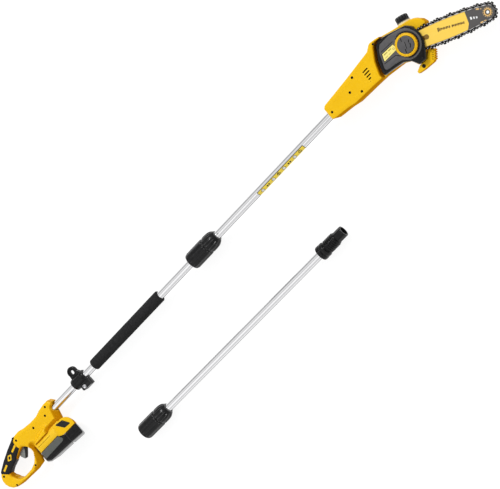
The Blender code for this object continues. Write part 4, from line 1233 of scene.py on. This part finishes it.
def build_cover():
    outer = rounded(COVER, 10, 4)
    shape = Shape()
    slab(shape, [outer], [(6.3, 0.5), (6.8, 0), (13, 0)] + shoulder(28.6, 9.5, 1, 7))
    face = rounded(FACE, 9, 3)
    slab(shape, [face], [(24, 0)] + shoulder(30.4, 3.4), 1)
    rim = arc(DIAL, 40.5, -118, 100, 40) + arc(DIAL, 36, 100, -118, 36)
    slab(shape, [wound(rim)], [(26, 0)] + shoulder(31.9, 2.2), 1)
    looks = [gloss_black, charcoal, hollow]
    cover = piece("drive_cover", shape, looks, "upper_section", "black_plastic", "side_cover")
    cut = Shape()
    block(cut, [circle(DIAL, 32.6, 72)], 29.42, 40)
    block(cut, [rounded([(842, 8), (884, 5.5), (884, -14), (833, -13)], 1.5, 4)], 29.2, 40.1)
    block(cut, [[(845.5, 13.5), (888, 11), (888, 9.4), (844.5, 11.9)]], 29.5, 40.2)
    groove = [(829, -16.4), (868, -22.8), (877, -34.2), (878.5, -33), (869, -21), (829.5, -14.8)]
    block(cut, [groove], 29.46, 40.3)
    moat = arc(DIAL, 35.2, -125, 112, 48) + arc(DIAL, 33, 112, -125, 48)
    block(cut, [wound(moat)], 28.9, 40.4)
    mouth = [(-45 + 33 * math.cos(a), 33 * math.sin(a)) for a in np.radians(np.arange(90, 271, 10))]
    mouth += [(-10, -37.5), (110, -37.5), (110, 37.5), (-10, 37.5)]
    # the bar's mouth lined with hollow: painted shade
    block(cut, [mouth], 5, 21.3, 1, BAR_FRAME)
    carve(cover, cut, gloss_black, hollow, own=True)
    bed = Shape()
    ground = rounded([(843.5, 6.6), (883, 4.2), (883, -12.8), (834.8, -11.8)], 1.2, 4)
    slab(bed, [ground], [(28.5, 0), (30.0, 0), (30.2, 0.3)])
    for start, stop, width in (
        ((845, 1.5), (858, 0.8), 2.4),
        ((861, 0.7), (872, 0.2), 2.4),
        ((842, -7), (853, -7.2), 1.2),
        ((856, -7.2), (864, -7.4), 1.2),
    ):
        block(bed, [strip(start, stop, width)], 29.9, 30.3, 1)
    block(bed, [circle((876.5, -5), 3.1, 24), circle((876.5, -5), 2.0, 20)], 29.9, 30.3, 1)
    piece("cover_label", bed, [pale_yellow, label_ink], "upper_section", "yellow_plastic")
    ring = Shape()
    profile = [(32.3, 31), (32.7, 31.5), (36.2, 31.5), (37.6, 31.1), (38.5, 30.2), (38.7, 28.9), (38.2, 28.6)]
    profile += [(38.2, 28.1), (38.9, 27.8), (39.3, 27), (39.3, 25.2), (39, 24.4), (38, 23.9), (32.3, 23.9)]
    grips = lambda station, angle: -0.5 * ramp(math.cos(24 * angle), 0.5, 0.9) if 0 < station < 5 else 0
    ring.add(turned(profile, 192, grips, hollow=True), 0, standing(*DIAL))
    piece("tension_dial", ring, yellow, "tension_ring", "yellow_plastic", "tension_ring")
    profile = [(32.3, 23.2), (32.7, 23.5), (39.6, 23.5), (41, 23.1), (41.6, 22.2), (41.7, 21)]
    profile += [(41.2, 20.4), (41.2, 4)]
    looks = [charcoal, gloss_black]
    disc = piece("lock_dial", post(profile, 96, DIAL), looks, "lock_knob", "grey_plastic", "lock_knob")
    cuts = [strip((912.5, 0), (907.5, -10), 2.0), strip((913.5, -15.5), (905, -33.5), 1.8)]
    cuts += [strip((901.5, -30), (897, -41), 2.4), strip((925.5, -19), (920, -25), 2.4)]
    curl = arc((908, -24.5), 15.4, -66, -14, 8) + arc((908, -24.5), 12.6, -14, -66, 8)
    for line in cuts + [wound(curl)]:
        carve(disc, block(Shape(), [line], 40.2, 44), gloss_black)


BAR_NOSE = 228.0
NOSE_RAYS = 13
CHAIN_MID = 13.0


def bar_half(u):
    return 26.5 - 0.00055 * (u - 110) ** 2


def bar_outline(gone=0.0, start=-18.0, stop=None, tip=True):
    """The bar's edge moved in by gone, in the bar's own frame: u along it, v across."""
    last = BAR_NOSE if stop is None else stop
    stations = np.linspace(start + gone, last, 40)
    upper = [(float(u), bar_half(u) - gone) for u in stations]
    nose = arc((BAR_NOSE, 0), bar_half(BAR_NOSE) - gone, 90, -90, 28)[1:-1] if tip else []
    return upper + nose + [(u, -v) for u, v in upper[::-1]]


def chain_path(out):
    """The closed line of the chain round the bar and the drive sprocket."""
    hub = (-42.0, 0.0)
    radius = bar_half(BAR_NOSE) + out
    line = arc(hub, 21.1, 252, 108, 16)
    line += [(float(u), bar_half(u) + out) for u in np.linspace(-8, BAR_NOSE - 1, 60)]
    line += arc((BAR_NOSE, 0), radius, 88, -88, 30)
    line += [(float(u), -bar_half(u) - out) for u in np.linspace(BAR_NOSE - 1, -8, 60)]
    points = np.array(line)
    steps = np.linalg.norm(np.roll(points, -1, 0) - points, axis=1)
    marks = np.concatenate([[0], np.cumsum(steps)])
    whole = np.vstack([points, points[:1]])
    count = 2 * round(marks[-1] / 9.35 / 2)
    at = np.arange(count) * marks[-1] / count
    return [tuple(float(np.interp(a, marks, whole[:, axis])) for axis in (0, 1)) for a in at]


def link_loop(a, b, kind):
    """One link's side outline between two rivets.  kind 0 plain, 1 cutter, 2 with a tang inside.
    Links round the drive sprocket keep clear of its teeth."""
    a, b = Vector(a), Vector(b)
    along = (b - a).normalized()
    out = Vector((-along.y, along.x))
    span = (b - a).length
    if kind == 1:
        shape = [(-3.1, -2.2), (0, -3.6), (span, -3.6), (span + 3.1, -2.2), (span + 3.6, 1.2)]
        shape += [(span + 2.6, 5.4), (span - 2.6, 5.6), (span * 0.58, 5.2), (span * 0.46, 1.4)]
        shape += [(span * 0.26, 1.2), (span * 0.08, 4.9), (-1.6, 4.4), (-3.3, 1.2)]
    elif kind == 2:
        shape = [(-3, -3.4), (span * 0.3, -4.0), (span * 0.5, -5.2), (span * 0.7, -4.2), (span + 3, -3.4)]
        shape += [(span + 3.4, 1.8), (span + 1.2, 3.4), (span - 1.6, 3.1), (span / 2, 0.6), (1.6, 3.1)]
        shape += [(-1.2, 3.4), (-3.4, 1.8)]
    else:
        shape = [(-3.3, -2), (-1, -3.6), (span / 2, -3.0), (span + 1, -3.6), (span + 3.3, -2)]
        shape += [(span + 3.5, 1.8), (span + 1.6, 3.4), (span - 1.9, 2.4), (span / 2, -0.4)]
        shape += [(1.9, 2.4), (-1.6, 3.4), (-3.5, 1.4)]
    lowest = -1.2 if a.x < -12 else -9
    return [tuple(a + along * x + out * max(y, lowest)) for x, y in shape]


def bar_marks():
    """Plain shapes on the bar's faces and rays round its nose, each with the number of its finish."""
    marks = []
    for k in range(10):
        u, v = 88 + 7.9 * k, 5.6 - 0.86 * k
        tall = 5.4 if k == 0 else 3.1
        marks.append((strip((u, v - tall), (u + 1.4, v + tall), 3.2, 0.4), 2))
        if k % 5 != 4:
            marks.append((strip((u + 4.5, v - tall + 0.6), (u + 4.5, v + tall - 0.6), 2.7, 0.3), 2))
            level = v + (k % 2) * 2 - 1
            marks.append((strip((u + 0.6, level), (u + 4.5, level), 1.5, 0.2), 2))
    for start, stop, width, tag in (
        ((181.6, 5), (181.6, -2.4), 4.4, 3),
        ((189.4, 2.6), (189.4, -3.2), 3.6, 3),
        ((196.5, 0.6), (196.5, -4.6), 3.8, 3),
        ((202, 18.3), (209.5, 15.8), 3.4, 4),
        ((213, 14.8), (215.6, 14.0), 2.4, 4),
        ((201, -19.2), (209, -18.4), 3.2, 4),
        ((212, -17.6), (218, -17.9), 2.0, 4),
    ):
        marks.append((strip(start, stop, width, 0.5), tag))
    for k in range(NOSE_RAYS):
        turn = TAU * k / NOSE_RAYS
        ray = [(11.5, -0.15), (13.8, 0), (11.5, 0.15)]
        marks.append(([(BAR_NOSE + r * math.cos(turn + w), r * math.sin(turn + w)) for r, w in ray], 4))
    return marks


def build_bar():
    slot, hub = strip((-2, 0), (58, 0), 9.2), circle((BAR_NOSE, 0), 11.4, 48)
    shape = Shape()
    levels = [(11.15, 0.35), (11.4, 0), (14.6, 0), (14.85, 0.35)]
    slab(shape, [bar_outline(), slot, hub], levels, 0, BAR_FRAME)
    edge = [(u, v) for u, v in bar_outline(1.3, -18, 171.3, False) if v > 0]
    yellow_part = edge + [(171.6, -9.2), (163.4, -bar_half(163.4) + 1.3)]
    yellow_part += [(u, -v) for u, v in edge[::-1] if u < 163]
    trim = strip((-2, 0), (58, 0), 11.0)
    for loops, low, high, tag in (
        ([yellow_part, trim], 14.7, 14.98, 1),
        ([yellow_part, trim], 11.02, 11.3, 1),
        # painted shade: a brown disc fills the slot's end for the shadowed plate beneath, ringed by a thin
        # dark line
        ([circle((53, 0), 6.2, 36)], 11.02, 14.99, 5),
        ([circle((53, 0), 6.9, 36), circle((53, 0), 6.1, 36)], 14.8, 15, 2),
    ):
        block(shape, loops, low, high, tag, BAR_FRAME)
    for low, high in ((14.8, 15.0), (11.0, 11.2)):
        for loop, tag in bar_marks():
            block(shape, [loop], low, high, tag, BAR_FRAME)
    looks = [bar_grey, bar_yellow, bar_ink, bar_pale, bar_gold, slot_shade_brown]
    piece("bar_blade", shape, looks, "bar", "printed_bar", "guide_bar")


def build_nose_wheel():
    wheel = Shape()
    rim, eye = circle((BAR_NOSE, 0), 11.2, 48), circle((BAR_NOSE, 0), 4.2, 24)
    slab(wheel, [rim, eye], [(11.2, 0.2), (11.4, 0), (14.5, 0), (14.6, 0.2)], 0, BAR_FRAME)
    rays = []
    for k in range(NOSE_RAYS):
        for swing, reach in ((-0.4, 9.7), (-0.16, 9.9), (0, 11.15), (0.16, 9.9)):
            a = TAU * (k + swing) / NOSE_RAYS
            rays.append((BAR_NOSE + reach * math.cos(a), reach * math.sin(a)))
    for low, high in ((14.5, 14.95), (11.05, 11.3)):
        block(wheel, [rays, circle((BAR_NOSE, 0), 7.2, 32)], low, high, 1, BAR_FRAME)
    piece("bar_nose_wheel", wheel, [black_steel, bar_gold], "nose_sprocket", "steel", "nose_sprocket")


def cutter_top(a, b):
    """The plate that a cutter folds over the chain, between two rivets."""
    a, b = Vector(a), Vector(b)
    along = (b - a).normalized()
    out = Vector((-along.y, along.x))
    far = a + along * ((b - a).length - 3)
    corners = [far + out * 4.0, far + along * 4.6 + out * 3.8, far + along * 4.3 + out * 5.0]
    return [tuple(p) for p in corners + [far + out * 5.4]]


def build_chain():
    """Links in pairs with a tang between, every fourth a cutter, on alternate sides."""
    chain, points = Shape(), chain_path(4.6)
    rivet = [(-3.2, 0.8), (-3.05, 1.2), (3.05, 1.2), (3.2, 0.8)]
    for i, here in enumerate(points):
        ahead = points[(i + 1) % len(points)]
        if i % 2:
            block(chain, [link_loop(here, ahead, 2)], CHAIN_MID - 1.1, CHAIN_MID + 1.1, 0, BAR_FRAME)
        else:
            for low, high in ((1.35, 3.0), (-3.0, -1.35)):
                cutter = i % 8 == (0 if low > 0 else 4)
                bottom, top = CHAIN_MID + low, CHAIN_MID + high
                levels = [(bottom, 0.25), (bottom + 0.25, 0), (top - 0.35, 0), (top, 0.35)]
                slab(chain, [link_loop(here, ahead, int(cutter))], levels, 0, BAR_FRAME)
                if cutter:
                    ends = (CHAIN_MID - 0.6, top) if low > 0 else (bottom, CHAIN_MID + 0.6)
                    block(chain, [cutter_top(here, ahead)], *ends, 0, BAR_FRAME)
        chain.add(turned(rivet, 12), 1, BAR_FRAME @ Matrix.Translation((*here, CHAIN_MID)))
    piece("chain_loop", chain, [chain_black, rivet_steel], "bar", "dark_steel", "saw_chain")


def build_hook():
    teeth = []
    first, last = Vector((929, -102)), Vector((949, -80))
    along = (last - first) / 5
    out = Vector((along.y, -along.x)).normalized() * 3.2
    for k in range(5):
        start = first + along * k
        tips = [(*(start + along * share + out), 0.9) for share in (0.28, 0.8)]
        teeth += [tuple(start + along * 0.1), *tips, tuple(start + along * 0.95)]
    loop = [(873, -90, 2), (873, -97, 2), (893, -101), (925, -104, 2)] + teeth
    loop += [(949.5, -79, 2), (938, -69, 3), (913, -85.5, 6), (891, -82.5, 8)]
    shape = Shape()
    slab(shape, [rounded(loop, 1, 4)], shoulder(-15, 1.6, -1)[::-1] + [(-2, 0)] + shoulder(5, 1.6))
    # painted shade: dark strips laid in the notches between the teeth
    for k in range(5):
        base = first + along * (k + 0.52) - out * 0.2
        slab(shape, [strip(tuple(base), tuple(base - out * 2.2), 1.7, 0.4)], [(3, 0), (5.25, 0.2)], 1)
    hook = piece("branch_hook", shape, [yellow, hollow], "upper_section", "yellow_plastic", "limb_hook")
    # screw pit lined with hollow: painted shade
    carve(hook, screw_pit(Matrix(), 897, -92, 5, 4.6, 3.0), hollow, own=True)
    head = screw_head(Shape(), 897, -92, 2.4, 4.2)
    piece("branch_hook_screw", head, black_steel, "upper_section", "steel", "hook_screw")


def finish_inner_parts():
    """Gives the parts kept from the CAD their finish, by the slot each one has."""
    finishes = {
        "aluminium": aluminium,
        "black_plastic": satin_black,
        "black_rubber": rubber,
        "brass": brass,
        "dark_steel": black_steel,
        "grey_plastic": mid_grey,
        "steel": steel,
    }
    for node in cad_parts.values():
        for kept in node.material_slots:
            name = kept.material.name.split(".")[0] if kept.material else ""
            if name in finishes:
                kept.material = finishes[name]


build_stage()
build_camera()
build_pole()
build_foam()
build_couplings()
build_clamp()
build_handle()
build_battery()
build_head()
build_cover()
build_bar()
build_nose_wheel()
build_chain()
build_hook()
finish_inner_parts()
